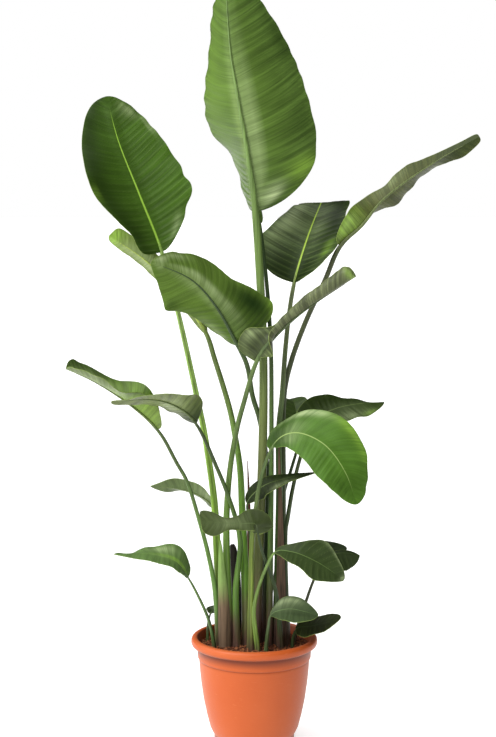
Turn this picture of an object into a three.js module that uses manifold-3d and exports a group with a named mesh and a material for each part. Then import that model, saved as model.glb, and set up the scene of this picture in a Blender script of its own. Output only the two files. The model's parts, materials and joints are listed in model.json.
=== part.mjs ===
// A bird of paradise (Strelitzia) house plant in its 24 cm terracotta-coloured plastic pot.
// Millimetres, +Z up, +Y to the back of the plant; the origin is the centre of the pot's underside.
import * as THREE from "three";
import { mergeVertices } from "three/addons/utils/BufferGeometryUtils.js";
import Module from "manifold-3d";

const wasm = await Module();
wasm.setup();

// Driving sizes of the pot and the soil.
const RIM_RADIUS = 120;
const POT_HEIGHT = 205;
const BEAD_HEIGHT = 17;
const FOOT_RADIUS = 76.5;
const FOOT_HEIGHT = 18;
const FOOT_BEVEL = 2;
const LIP_RADIUS = 108;
const MOUTH_RADIUS = 105.5;
const WALL = 3;
const FLOOR = 4;
const POT_SIDES = 40;
const DRAIN_HOLES = 6;
const DRAIN_RADIUS = 5;
const DRAIN_CIRCLE = 54;
const SOIL_LEVEL = 188;
const SOIL_ROUGHNESS = 2.2;
const SOIL_EDGE = 5;
const SOIL_RINGS = [88, 60, 30, 0];
const SEAT_GAP = 0.3;

// How deep the stems stand in the soil, and the play that they have in their holes.
const ROOT_DEPTH = 26;
const HOLE_GAP = 0.5;

// The blades: how thick they are, how far the round stalk runs into them as the midrib, and how thick it is
// there. Then how deep the keel under the blade is, how far its foot reaches at least and how it fades to the
// tip, how fast the lobes at the base end, how long a cut in the margin is, and the narrowest half.
const BLADE_THICKNESS = 1;
const RIB_REACH = 0.12;
const RIB_SHARE = 0.55;
const KEEL_SHARE = 0.7;
const KEEL_FOOT = 1.6;
const KEEL_FADE = 0.6;
const LOBE_FADE = 6;
const CUT_LENGTH = 0.04;
const NARROWEST = 0.5;

// How finely the stems and blades are split.
const STEM_STEP = 80;
const THICK_STEM = 6;
const BLADE_ROWS = 12;
const BLADE_COLUMNS = [0.06, 0.36, 0.7, 1];
const SMALL_COLUMNS = [0.12, 0.58, 1];
const CURVE_SAMPLES = 400;

// Colours of the real surfaces.
const TERRACOTTA = 0xd4673a;
const SOIL_BROWN = 0x4a3226;
const LEAF_DARK = 0x2e5a1c;
const LEAF_OLIVE = 0x4f6a34;
const LEAF_GREEN = 0x4f7a2e;
const LEAF_LIGHT = 0x75954a;
const LEAF_BRIGHT = 0x5fa52f;
const SHEATH_BROWN = 0x6a4a40;
const SHEATH_DARK = 0x2a2620;
const PLASTIC_ROUGHNESS = 0.45;
const SOIL_DULLNESS = 0.95;
const LEAF_ROUGHNESS = 0.5;

const radians = THREE.MathUtils.degToRad;
const vector = (p) => new THREE.Vector3(...p);

// A value at t on the smooth curve through a list of values that lie evenly from the base to the tip.
function along(values, t) {
  const last = values.length - 1;
  const k = Math.min(Math.floor(t * last), last - 1);
  const w = t * last - k;
  const [b, c] = [values[k], values[k + 1]];
  const a = values[k - 1] ?? 2 * b - c;
  const d = values[k + 2] ?? 2 * c - b;
  const bend = (2 * a - 5 * b + 4 * c - d) * w ** 2 + (3 * b - a - 3 * c + d) * w ** 3;
  return 0.5 * (2 * b + (c - a) * w + bend);
}

// A closed mesh as a manifold solid, and the other way round.
function solid(geometry) {
  geometry.deleteAttribute("normal");
  geometry.deleteAttribute("uv");
  const merged = mergeVertices(geometry, 1e-4);
  return new wasm.Manifold(
    new wasm.Mesh({
      numProp: 3,
      vertProperties: merged.attributes.position.array,
      triVerts: new Uint32Array(merged.index.array),
    }),
  );
}

function geometryOf(manifold) {
  const mesh = manifold.getMesh();
  const geometry = new THREE.BufferGeometry();
  geometry.setAttribute("position", new THREE.BufferAttribute(mesh.vertProperties, 3));
  geometry.setIndex(new THREE.BufferAttribute(mesh.triVerts, 1));
  geometry.computeVertexNormals();
  return geometry;
}

function meshGeometry(points, faces) {
  const geometry = new THREE.BufferGeometry();
  const places = points.flatMap((p) => [p.x, p.y, p.z]);
  geometry.setAttribute("position", new THREE.Float32BufferAttribute(places, 3));
  geometry.setIndex(faces.flat());
  return geometry;
}

// A round stem along a curve. `stations` are lengths from its foot, and `radiusAt` gives the radius there.
function stem(curve, stations, sides, radiusAt) {
  const total = curve.getLength();
  const rows = stations.length - 1;
  const points = [];
  const faces = [];
  for (const s of stations) {
    const centre = curve.getPointAt(s / total);
    const tangent = curve.getTangentAt(s / total);
    const across = new THREE.Vector3(1, 0, 0).addScaledVector(tangent, -tangent.x).normalize();
    const outward = new THREE.Vector3().crossVectors(tangent, across);
    for (let k = 0; k < sides; k++) {
      const turn = (2 * Math.PI * k) / sides;
      const spoke = across.clone().multiplyScalar(Math.cos(turn)).addScaledVector(outward, Math.sin(turn));
      points.push(centre.clone().addScaledVector(spoke, radiusAt(s)));
    }
  }
  for (let i = 0; i < rows; i++) {
    for (let k = 0; k < sides; k++) {
      const a = i * sides + k;
      const b = i * sides + ((k + 1) % sides);
      faces.push([a, b, b + sides], [a, b + sides, a + sides]);
    }
  }
  for (let k = 1; k < sides - 1; k++) {
    faces.push([0, k + 1, k]);
    faces.push([rows * sides, rows * sides + k, rows * sides + k + 1]);
  }
  return meshGeometry(points, faces);
}

// A point of half a cross-section: an arc that leaves the midrib at `start` and ends at `start + curl`.
function sectionPoint(s, width, start, curl) {
  const turn = curl / width;
  if (Math.abs(turn) < 1e-5) return [s * Math.cos(start), s * Math.sin(start)];
  const angle = start + turn * s;
  return [(Math.sin(angle) - Math.sin(start)) / turn, (Math.cos(start) - Math.cos(angle)) / turn];
}

// The leaf's own axis at a length: the point, the way it runs, its upper side and its right-hand side.
function frameAt(curve, length, faceHint) {
  const u = THREE.MathUtils.clamp(length / curve.getLength(), 0, 1);
  const forward = curve.getTangentAt(u);
  const upper = faceHint.clone().addScaledVector(forward, -faceHint.dot(forward)).normalize();
  const right = new THREE.Vector3().crossVectors(forward, upper);
  return { point: curve.getPointAt(u), forward, upper, right };
}

// A thin curved blade from one end of its rib to the other. The rows lie closer at its base and tip.
function blade(curve, from, to, spec) {
  const { rows = BLADE_ROWS, columns = BLADE_COLUMNS, thickness = BLADE_THICKNESS, keel } = spec;
  const offsets = [...columns.map((c) => -c).reverse(), 0, ...columns];
  const middle = columns.length;
  const surface = [];
  for (let i = 0; i <= rows; i++) {
    const t = 0.5 - 0.5 * Math.cos((Math.PI * i) / rows);
    const hint = vector([0, 1, 2].map((axis) => along(spec.face.map((f) => f[axis]), t)));
    const { point, forward, upper, right } = frameAt(curve, from + (to - from) * t, hint);
    const isEnd = i === 0 || i === rows;
    surface.push(
      (isEnd ? [0] : offsets).map((offset) => {
        const side = offset < 0 ? spec.left : spec.right;
        const width = halfWidth(side, t);
        const inner = Math.min(Math.max(columns[0], KEEL_FOOT / width), columns[1] / 2);
        const across = Math.abs(offset) === columns[0] ? inner : Math.abs(offset);
        const start = radians(along(side.lift, t));
        const curl = radians(along(side.curl, t));
        const [out, up] = sectionPoint(across * width, width, start, curl);
        return point
          .clone()
          .addScaledVector(right, Math.sign(offset) * out)
          .addScaledVector(upper, up + marginWave(side, across, t))
          .addScaledVector(forward, -(side.lobe ?? 0) * across ** 2 * (1 - t) ** LOBE_FADE);
      }),
    );
  }
  return sheet(surface, thickness, (i) => ({ column: middle, depth: keel * (1 - i / rows) ** KEEL_FADE }));
}

// Half the blade's width at t: two powers make its ends round or pointed, and cuts notch the margin.
function halfWidth(side, t) {
  const [foot, point] = side.shape;
  const widest = foot / (foot + point);
  const unit = widest ** foot * (1 - widest) ** point;
  let width = (along(side.width, t) * t ** foot * (1 - t) ** point) / unit;
  for (const [place, depth] of side.cuts ?? []) {
    width -= depth * Math.exp(-(((t - place) / CUT_LENGTH) ** 2));
  }
  return Math.max(width, NARROWEST);
}

// The margin rises and falls along the leaf, and the midrib stays still.
function marginWave(side, across, t) {
  const [height, count, phase] = side.wave ?? [0, 0, 0];
  return height * across ** 2 * Math.sin(Math.PI * t) ** 0.5 * Math.sin(2 * Math.PI * (count * t + phase));
}

// Gives a grid of points its thickness, with a ridge on the under side. The first and last row are single
// points. Both faces are split into the same triangles, so that a waved blade never cuts itself.
function sheet(rowsOfPoints, thickness, ridge) {
  const flat = rowsOfPoints.flat();
  const starts = [];
  let next = 0;
  for (const row of rowsOfPoints) {
    starts.push(next);
    next += row.length;
  }
  const triangles = [];
  const last = rowsOfPoints.length - 1;
  const width = rowsOfPoints[1].length;
  for (let j = 0; j < width - 1; j++) {
    triangles.push([0, starts[1] + j + 1, starts[1] + j]);
    for (let i = 1; i < last - 1; i++) {
      const a = starts[i] + j;
      const b = starts[i + 1] + j;
      triangles.push([a, a + 1, b + 1], [a, b + 1, b]);
    }
    triangles.push([starts[last - 1] + j, starts[last - 1] + j + 1, starts[last]]);
  }
  const normals = flat.map(() => new THREE.Vector3());
  for (const [a, b, c] of triangles) {
    const ab = flat[b].clone().sub(flat[a]);
    const ac = flat[c].clone().sub(flat[a]);
    const cross = ab.cross(ac);
    for (const v of [a, b, c]) normals[v].add(cross);
  }
  normals.forEach((n) => n.normalize());
  const upper = flat.map((p, v) => p.clone().addScaledVector(normals[v], thickness / 2));
  const under = flat.map((p, v) => p.clone().addScaledVector(normals[v], -thickness / 2));
  for (let i = 1; i < last; i++) {
    const { column, depth } = ridge(i);
    under[starts[i] + column].addScaledVector(normals[starts[i] + column], -depth);
  }
  const edge = [0];
  for (let i = 1; i < last; i++) edge.push(starts[i] + width - 1);
  edge.push(starts[last]);
  for (let i = last - 1; i > 0; i--) edge.push(starts[i]);
  const count = flat.length;
  const faces = triangles.concat(triangles.map(([a, b, c]) => [c + count, b + count, a + count]));
  edge.forEach((a, k) => {
    const b = edge[(k + 1) % edge.length];
    faces.push([b, a, a + count], [b, a + count, b + count]);
  });
  return meshGeometry([...upper, ...under], faces);
}

// One leaf: its stalk stands in the soil and runs on as the midrib of its blade.
function leaf(spec) {
  const foot = vector(spec.stalk[0]).add(new THREE.Vector3(0, 0, -ROOT_DEPTH));
  const points = [foot, ...spec.stalk.map(vector), ...spec.rib.map(vector)];
  const curve = new THREE.CatmullRomCurve3(points);
  curve.arcLengthDivisions = CURVE_SAMPLES;
  const lengths = curve.getLengths(CURVE_SAMPLES);
  const total = lengths[CURVE_SAMPLES];
  const base = lengths[Math.round((CURVE_SAMPLES * spec.stalk.length) / (points.length - 1))];
  const [thick, thin] = spec.radius;
  const end = base + (total - base) * RIB_REACH;
  const taper = (s) => THREE.MathUtils.lerp(thick, thin, Math.sqrt(s / base));
  const radiusAt = (s) => (s > base ? thin * RIB_SHARE : taper(s));
  const sides = thick > THICK_STEM ? 8 : 6;
  const steps = Math.ceil(end / STEM_STEP);
  const stations = Array.from({ length: steps + 1 }, (_, i) => (end * i) / steps);
  const stalk = solid(stem(curve, stations, sides, radiusAt));
  const socket = stem(curve, stations.slice(0, 2), sides, (s) => radiusAt(s) + HOLE_GAP);
  const body = stalk.add(solid(blade(curve, base - thin, total, { keel: thin * KEEL_SHARE, ...spec })));
  return { name: spec.name, colour: spec.colour, body, socket: solid(socket.translate(0, 0, -HOLE_GAP)) };
}

// The old leaf bases: dry sheaths that stand in the soil and hug the stems.
function sheath(spec) {
  const foot = vector(spec.rib[0]).add(new THREE.Vector3(0, 0, -ROOT_DEPTH));
  const curve = new THREE.CatmullRomCurve3([foot, ...spec.rib.map(vector)]);
  curve.arcLengthDivisions = CURVE_SAMPLES;
  const body = solid(blade(curve, 0, curve.getLength(), { keel: 0, ...spec }));
  const wider = (side) => ({ ...side, width: side.width.map((w) => w + 2 * HOLE_GAP) });
  const socket = blade(curve, 0, curve.getLength(), {
    keel: 0,
    ...spec,
    left: wider(spec.left),
    right: wider(spec.right),
    thickness: spec.thickness + 2 * HOLE_GAP,
  });
  return { name: spec.name, colour: spec.colour, body, socket: solid(socket.translate(0, 0, -HOLE_GAP)) };
}

// Half of a blade: its width, two powers that say how round its base and its tip are, then its fold and its
// curl. Widths, folds and curls are given at places that lie evenly from base to tip.
const flat = [0, 0];
const half = (width, shape, lift, curl = flat, more = {}) => ({ width, shape, lift, curl, ...more });

// Every leaf, from the top of the plant down. `face` is the way that its upper side looks, at base, middle
// and tip.
const LEAVES = [
  {
    name: "leaf_top",
    colour: LEAF_GREEN,
    stalk: [
      [3, 10, 190], [8, 10, 350], [14, 4, 505], [17, 5, 657], [16, 10, 770], [10, 12, 891],
      [1, 11, 1015],
    ],
    rib: [[-14, 14, 1122], [-30, 22, 1213], [-45, 34, 1305], [-55, 60, 1450]],
    radius: [9, 7.2],
    face: [[0, 1, 0], [0, 1, 0], [0, 1, 0.2]],
    right: half(
      [116, 134, 136, 145, 123, 119, 127, 134, 105],
      [0.38, 0.62],
      [76, 74, 54, 63, 62],
      [10, 10],
      { wave: [0.8, 3, 0] },
    ),
    left: half(
      [184, 186, 165, 147, 136, 130, 126, 118, 117],
      [0.6, 0.62],
      [13, 15, 16],
      [14, 16, 10],
      { wave: [1.2, 2, 0.1] },
    ),
    rows: 14,
  },
  {
    name: "leaf_upper_left",
    colour: LEAF_DARK,
    stalk: [
      [-62, 8, 190], [-65, 8, 272], [-71, 8, 379], [-76, 9, 465], [-86, 12, 541], [-97, 16, 608],
      [-110, 21, 668], [-144, 34, 820], [-176, 50, 936],
    ],
    rib: [[-218, 66, 1042], [-258, 86, 1142], [-281, 110, 1225]],
    radius: [8.6, 4.2],
    face: [[0.2, -1, 0.3], [0.2, -1, 0.3], [0.1, -1, 0.5]],
    right: half(
      [48, 79, 102, 99, 90, 88, 88, 91, 84],
      [0.42, 0.5],
      [20, 14, 0],
      [-6, -10, -30],
      { wave: [2, 3, 0.2], cuts: [[0.2, 7], [0.38, 6]] },
    ),
    left: half(
      [60, 49, 62, 80, 92, 94, 95, 98, 114],
      [0.22, 0.5],
      [20, 18, 10],
      [-10, -10, -20],
      { wave: [3, 3, 0.6] },
    ),
    rows: 14,
  },
  {
    name: "leaf_back_left",
    colour: LEAF_LIGHT,
    stalk: [
      [-14, 2, 190], [-20, 4, 380], [-23, 8, 444], [-27, 14, 524], [-35, 20, 578], [-46, 28, 634],
      [-76, 45, 732], [-93, 56, 782],
    ],
    rib: [[-142, 74, 849], [-209, 96, 915], [-280, 120, 960]],
    radius: [8, 4.6],
    face: [[0.3, 0.9, 0.3], [0.3, 0.9, 0.3], [0.3, 0.9, 0.3]],
    right: half([30, 25, 24, 22, 22], [0.4, 0.22], [24, 26]),
    left: half([50, 46, 34, 26, 34], [0.4, 0.14], [104, 96, 74, 62, 58]),
  },
  {
    name: "leaf_arching_left",
    colour: LEAF_GREEN,
    stalk: [
      [17, 26, 190], [21, 27, 385], [22, 25, 540], [10, 18, 618], [-3, 8, 662], [-14, -18, 725],
      [-32, -36, 766],
    ],
    rib: [[-71, -54, 838], [-114, -70, 886], [-185, -100, 920]],
    radius: [7.4, 4.2],
    face: [[0.2, 0.95, 0.3], [0.1, 0.95, 0.4], [0, 0.6, 0.8]],
    right: half(
      [48, 52, 58, 57, 70, 89, 88, 72, 60],
      [0.35, 0.6],
      [36, 26, 0, -10, 0],
      [10, 10],
      { wave: [2, 3, 0] },
    ),
    left: half(
      [118, 111, 90, 75, 73, 78, 73, 73, 80],
      [0.3, 0.7],
      [30, 40, 60, 68, 50],
      [20, 20],
      { wave: [2, 3, 0.5] },
    ),
    rows: 14,
  },
  {
    name: "leaf_rolled",
    colour: LEAF_LIGHT,
    stalk: [
      [-47, -4, 190], [-53, -10, 402], [-51, -13, 470], [-44, -19, 543], [-32, -26, 610],
      [-21, -37, 653], [8, -58, 747],
    ],
    rib: [[30, -68, 777], [82, -84, 826], [181, -112, 894]],
    radius: [8, 4.2],
    face: [[-0.5, 0.3, 0.8], [-0.5, 0.2, 0.8], [-0.5, 0, 0.8]],
    right: half(
      [16, 46, 22, 23, 26, 29, 31, 38, 48],
      [0.3, 0.15],
      [-70, -74, -20, 0, 0, 0, 0, 0, 0],
      [0, 30, 110, 160, 165, 165, 165, 165, 165],
    ),
    left: half(
      [76, 56, 22, 23, 26, 29, 31, 38, 48],
      [0.2, 0.15],
      [95, 85, 30, 0, 0, 0, 0, 0, 0],
      [0, 30, 110, 160, 165, 165, 165, 165, 165],
      { lobe: 10 },
    ),
  },
  {
    name: "leaf_upper_right",
    colour: LEAF_OLIVE,
    stalk: [
      [44, 6, 190], [46, 9, 390], [47, 13, 480], [46, 14, 600], [52, 15, 662], [58, 20, 748],
      [66, 30, 822], [76, 42, 878],
    ],
    rib: [[101, 72, 958], [126, 110, 1018], [130, 150, 1020], [128, 200, 955]],
    radius: [8.4, 4],
    face: [[0, -1, 0.2], [0.1, -0.3, 1], [0, 1, 0.3]],
    right: half(
      [60, 92, 92, 88, 70, 60, 56, 60, 60],
      [0.35, 0.5],
      [65, 50, 36, 12, 0],
      [0, -20, -10],
      { wave: [2, 3, 0] },
    ),
    left: half(
      [92, 107, 92, 73, 60, 48, 54, 60, 60],
      [0.35, 0.5],
      [10, 6, 0],
      [0, -20, -10],
      { wave: [2, 2, 0.3] },
    ),
    rows: 14,
  },
  {
    name: "leaf_far_right",
    colour: LEAF_OLIVE,
    stalk: [
      [58, 20, 190], [54, 25, 386], [54, 28, 502], [56, 31, 665], [69, 32, 726], [96, 32, 801],
      [131, 19, 879], [161, 2, 950],
    ],
    rib: [[197, -10, 985], [234, -18, 1030], [327, -12, 1097], [411, -20, 1145]],
    radius: [7.4, 4.8],
    face: [[-0.5, 0.2, 0.8], [-0.3, 0.9, 0.4], [-0.3, 0.9, 0.4]],
    right: half(
      [38, 46, 46, 29, 22, 27, 27, 20, 13, 13, 16],
      [0.35, 0.2],
      [30, 50, 70, 68, 72, 72],
      flat,
      { wave: [2, 4, 0] },
    ),
    left: half(
      [14, 18, 42, 30, 26, 18],
      [0.35, 0.25],
      [0, 5, 35, 27, 16, 29, 43, 40, 29, -18, -30],
      flat,
      { wave: [3, 4, 0.5] },
    ),
    rows: 14,
  },
  {
    name: "leaf_middle_left",
    colour: LEAF_LIGHT,
    stalk: [
      [-68, -5, 190], [-74, -5, 295], [-87, -8, 367], [-103, -12, 430], [-126, -20, 507],
      [-144, -24, 541], [-181, -38, 610],
    ],
    rib: [[-230, -52, 657], [-294, -72, 701], [-343, -86, 725]],
    radius: [5.2, 3.4],
    face: [[0.6, 0, 0.8], [0.5, 0, 0.85], [0.4, 0, 0.9]],
    right: half([52, 51, 50, 49, 44], [0.35, 0.25], [25, 72, 25, 20, 40], flat, { wave: [2, 3, 0.2] }),
    left: half([42, 51, 48, 42, 36], [0.35, 0.25], [36, 58, 25, 26, 30], flat, { wave: [1.5, 3, 0] }),
    rows: 10,
  },
  {
    name: "leaf_middle_left_front",
    colour: LEAF_OLIVE,
    stalk: [
      [-33, -10, 190], [-35, -12, 297], [-27, -18, 394], [-48, -28, 478], [-70, -38, 536],
      [-108, -60, 623],
    ],
    rib: [[-133, -80, 651], [-175, -108, 671], [-256, -138, 673]],
    radius: [6.8, 3],
    face: [[0.4, 0.5, 0.8], [0.2, 0.5, 0.8], [0, 0.2, 1]],
    right: half([52, 45, 37, 26, 20], [0.35, 0.3], [8, 5, 5, -8, -30]),
    left: half([60, 54, 42, 29, 23], [0.5, 0.3], [80, 36, 4, 0, 0], flat, { wave: [1.5, 2, 0], lobe: -5 }),
    rows: 10,
  },
  {
    name: "leaf_low_left",
    colour: LEAF_LIGHT,
    stalk: [[-68, 28, 190], [-75, 34, 346], [-80, 38, 447]],
    rib: [[-101, 40, 466], [-141, 42, 480], [-199, 44, 485]],
    radius: [3.5, 2.2],
    face: [[0.4, 0.3, 0.8], [0.1, 0.4, 0.8], [0, 0.3, 1]],
    right: half([26, 25, 23], [0.4, 0.8], [-9, 3, 12, 4, -31, -40]),
    left: half([8, 24, 22, 31, 24], [0.4, 0.8], [10, 34, 45, 44, 30], flat, { wave: [1.5, 2, 0.2] }),
    rows: 8,
    columns: SMALL_COLUMNS,
  },
  {
    name: "leaf_lowest_left",
    colour: LEAF_GREEN,
    stalk: [[-76, -20, 190], [-86, -22, 241], [-112, -30, 303], [-125, -34, 328]],
    rib: [[-146, -42, 358], [-194, -60, 377], [-260, -80, 381]],
    radius: [3.6, 1.8],
    face: [[0.4, -0.3, 0.8], [0.1, -0.4, 0.8], [0, -0.3, 1]],
    right: half([32, 34, 30, 42, 36], [0.4, 0.9], [10, 22, 0, -30, -10], flat, { wave: [3, 3, 0.3] }),
    left: half([32, 32], [0.4, 0.9], [20, 10, 10, 0, 0]),
    rows: 8,
    columns: SMALL_COLUMNS,
  },
  {
    name: "leaf_centre_front",
    colour: LEAF_OLIVE,
    stalk: [[50, -22, 190], [40, -34, 301], [21, -50, 359], [10, -62, 398], [5, -71, 424]],
    rib: [[1, -77, 437], [-28, -86, 439], [-65, -98, 444], [-98, -106, 448]],
    radius: [5, 2],
    face: [[0, -0.9, 0.4], [0, -0.7, 0.7], [0, -0.6, 0.8]],
    right: half([36, 33, 19, 13, 26, 36], [0.12, 0.12], [-10, 0], flat, { lobe: 9 }),
    left: half([14, 18, 14, 18, 32, 34], [0.2, 0.14], [10, 0], flat, { wave: [1.5, 2, 0], lobe: 4 }),
    rows: 8,
    columns: SMALL_COLUMNS,
  },
  {
    name: "leaf_bright_right",
    colour: LEAF_BRIGHT,
    stalk: [[-7, -33, 190], [-6, -34, 302], [-5, -40, 388], [3, -48, 466], [13, -50, 520], [35, -52, 580]],
    rib: [[56, -60, 600], [84, -72, 605], [129, -98, 586], [164, -120, 540], [184, -134, 485]],
    radius: [6.5, 3],
    face: [[-0.3, -0.5, 1], [0.2, -0.8, 0.6], [0.6, -0.8, 0.3]],
    right: half([46, 47, 52, 58, 50], [0.5, 0.5], [10, 10], [-20, -20], { wave: [1.5, 3, 0] }),
    left: half([33, 64, 78, 77, 74], [0.18, 0.5], [10, 10], [-20, -20], { wave: [3, 3, 0.2], lobe: 9 }),
    rows: 14,
  },
  {
    name: "leaf_dark_right",
    colour: LEAF_DARK,
    stalk: [[62, -2, 190], [59, 2, 409], [63, 4, 432], [72, 8, 485], [86, 14, 543], [111, 26, 614]],
    rib: [[148, 40, 633], [196, 58, 642], [250, 80, 643]],
    radius: [6, 3],
    face: [[-0.3, -0.3, 1], [0, -0.3, 1], [0, -0.3, 1]],
    right: half([42, 42], [0.4, 0.7], [5, -12, -10, -25, -17]),
    left: half([40, 40, 40, 42, 42], [0.25, 0.7], [60, 40, 8, -9, -40], flat, { lobe: 24 }),
    rows: 10,
  },
  {
    name: "leaf_dark_behind",
    colour: LEAF_DARK,
    stalk: [[44, 33, 190], [50, 42, 404], [57, 48, 472], [70, 54, 514], [84, 64, 565]],
    rib: [[84, 84, 603], [78, 126, 635], [70, 184, 635]],
    radius: [6.5, 2.6],
    face: [[0, -1, 0.5], [0, -0.4, 1], [0, 0, 1]],
    right: half([30, 30], [0.4, 0.7], [20, 20, 20]),
    left: half([26, 26], [0.4, 0.7], [20, 20, 20]),
    rows: 10,
  },
  {
    name: "leaf_centre_dark",
    colour: LEAF_DARK,
    stalk: [[-4, -20, 190], [-6, -20, 356], [-10, -20, 433], [-13, -22, 467]],
    rib: [[14, -21, 496], [57, -34, 514], [118, -42, 528]],
    radius: [4.5, 2],
    face: [[-0.4, 0.4, 0.8], [-0.2, 0.3, 0.8], [0, 0.3, 1]],
    right: half([26, 33, 27, 26, 24], [0.4, 0.8], [-50, -50, -40, -30, -30]),
    left: half([20, 20], [0.4, 0.8], [60, 62, 43, 30, 20]),
    rows: 8,
    columns: SMALL_COLUMNS,
  },
  {
    name: "leaf_low_right",
    colour: LEAF_GREEN,
    stalk: [[6, -42, 190], [-1, -43, 262], [5, -46, 300], [21, -56, 349], [39, -64, 382]],
    rib: [[71, -76, 384], [118, -96, 368], [163, -112, 340]],
    radius: [4.5, 2.2],
    face: [[-0.3, -0.5, 1], [0.1, -0.5, 1], [0.3, -0.5, 1]],
    right: half([20, 30, 35, 49, 30], [0.5, 0.5], [0, 0]),
    left: half([12, 24, 48, 38, 28], [0.5, 0.5], [20, 20]),
    rows: 8,
    columns: SMALL_COLUMNS,
  },
  {
    name: "leaf_low_right_back",
    colour: LEAF_DARK,
    stalk: [[13, 38, 190], [30, 46, 262], [48, 58, 334], [67, 68, 346]],
    rib: [[101, 86, 354], [182, 108, 350]],
    radius: [4, 2],
    face: [[-0.2, -0.5, 1], [0.1, -0.5, 1], [0.3, -0.5, 1]],
    right: half([17, 17], [0.5, 0.5], [0, 0, 0]),
    left: half([17, 17], [0.5, 0.5], [20, 20, 20]),
    rows: 7,
    columns: SMALL_COLUMNS,
  },
  {
    name: "leaf_low_right_side",
    colour: LEAF_DARK,
    stalk: [[76, 12, 190], [99, 22, 266], [115, 34, 307], [134, 46, 342]],
    rib: [[158, 52, 352], [182, 58, 352], [204, 60, 346]],
    radius: [3, 2],
    face: [[0, -0.5, 1], [0, -0.5, 0.8], [0, -0.5, 0.8]],
    right: half([30, 34, 42], [0.5, 0.5], [-40, -40]),
    left: half([10, 10], [0.5, 0.6], [-10, -10]),
    rows: 7,
    columns: SMALL_COLUMNS,
  },
  {
    name: "leaf_base_right",
    colour: LEAF_GREEN,
    stalk: [[22, -46, 190], [26, -52, 236], [31, -54, 260]],
    rib: [[62, -66, 274], [88, -80, 274], [117, -96, 269]],
    radius: [3.8, 2],
    face: [[-0.2, -0.5, 1], [0.1, -0.6, 1], [0.3, -0.6, 1]],
    right: half([18, 28, 33, 36, 40], [0.5, 0.5], [0, 0]),
    left: half([10, 28, 27, 20, 14], [0.5, 0.5], [20, 20]),
    rows: 8,
    columns: SMALL_COLUMNS,
  },
  {
    name: "leaf_base_right_back",
    colour: LEAF_DARK,
    stalk: [[72, -16, 190], [79, -26, 229]],
    rib: [[104, -40, 239], [133, -58, 251], [159, -74, 260]],
    radius: [3, 2],
    face: [[-0.2, -0.5, 1], [0.1, -0.5, 1], [0.3, -0.5, 1]],
    right: half([30, 30], [0.5, 0.5], [0, 0, 0]),
    left: half([24, 24], [0.5, 0.5], [10, 10, 10]),
    rows: 7,
    columns: SMALL_COLUMNS,
  },
  {
    name: "leaf_base_left",
    colour: LEAF_GREEN,
    stalk: [[-90, 20, 190], [-88, 26, 226], [-84, 34, 240]],
    rib: [[-81, 52, 241], [-88, 66, 244]],
    radius: [2.5, 1.6],
    face: [[0, -0.6, 1], [0, -0.6, 1], [0, -0.6, 1]],
    right: half([12, 12], [0.5, 0.5], [10, 10, 10]),
    left: half([12, 12], [0.5, 0.5], [10, 10, 10]),
    rows: 7,
    columns: SMALL_COLUMNS,
  },
  {
    name: "leaf_young_spear",
    colour: LEAF_LIGHT,
    stalk: [
      [28, -4, 190], [30, -4, 355], [31, -2, 432], [32, 0, 526], [32, 3, 632], [31, 6, 747],
      [24, 22, 863], [9, 34, 990],
    ],
    rib: [[-6, 44, 1080], [-18, 60, 1180], [-30, 80, 1270]],
    radius: [5.6, 3.6],
    face: [[0, 1, 0], [0, 1, 0], [0, 1, 0]],
    right: half([14, 16], [0.25, 0.6], [10, 10], [40, 130, 150, 140, 100, 20]),
    left: half([14, 16], [0.25, 0.6], [10, 10], [40, 130, 150, 140, 100, 20]),
    columns: SMALL_COLUMNS,
  },
];

const SHEATHS = [
  {
    name: "sheath_left",
    colour: SHEATH_BROWN,
    rib: [[-56, -22, 190], [-58, -23, 270], [-62, -24, 345], [-64, -24, 395]],
    face: [[0, 1, 0], [0, 1, 0], [0, 1, 0]],
    right: half([13, 12, 8], [0.15, 0.5], [5, 5, 5], [40, 40, 20]),
    left: half([13, 12, 8], [0.15, 0.5], [5, 5, 5], [40, 40, 20]),
    thickness: 1.6,
    rows: 8,
    columns: [0.5, 1],
  },
  {
    name: "sheath_right",
    colour: SHEATH_BROWN,
    rib: [[52, -14, 190], [50, -13, 431], [46, -11, 583]],
    face: [[0, 1, 0], [0, 1, 0], [0, 1, 0]],
    right: half([12, 11, 8, 7], [0.12, 0.6], [5, 5, 5], [40, 40, 20]),
    left: half([12, 9, 5, 4], [0.12, 0.6], [5, 5, 5], [40, 40, 20]),
    thickness: 1.6,
    rows: 12,
    columns: [0.5, 1],
  },
  {
    name: "sheath_middle",
    colour: SHEATH_BROWN,
    rib: [[3, 22, 190], [-5, 24, 272], [-9, 26, 378], [-11, 28, 489], [-13, 30, 537]],
    face: [[0, 1, 0], [0, 1, 0], [0, 1, 0]],
    right: half([7, 6, 3], [0.12, 0.5], [5, 5, 5], [30, 30, 20]),
    left: half([7, 6, 3], [0.12, 0.5], [5, 5, 5], [30, 30, 20]),
    thickness: 1.4,
    rows: 10,
    columns: [0.5, 1],
  },
  {
    name: "sheath_back",
    colour: SHEATH_DARK,
    rib: [[-35, 40, 190], [-35, 42, 264], [-38, 44, 342], [-42, 46, 372]],
    face: [[0, 1, 0], [0, 1, 0], [0, 1, 0]],
    right: half([11, 11], [0.15, 0.25], [5, 5, 5], [40, 40, 20]),
    left: half([11, 11], [0.15, 0.25], [5, 5, 5], [40, 40, 20]),
    thickness: 1.4,
    rows: 8,
    columns: [0.5, 1],
  },
];

// A repeatable rough value between -1 and 1 for a place on the soil.
function rough(x, y) {
  const waves = Math.sin(x * 0.31 + 1.3) * Math.cos(y * 0.27 - 0.6) + 0.6 * Math.sin(x * 0.71 - y * 0.53);
  return waves / 1.6;
}

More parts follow.
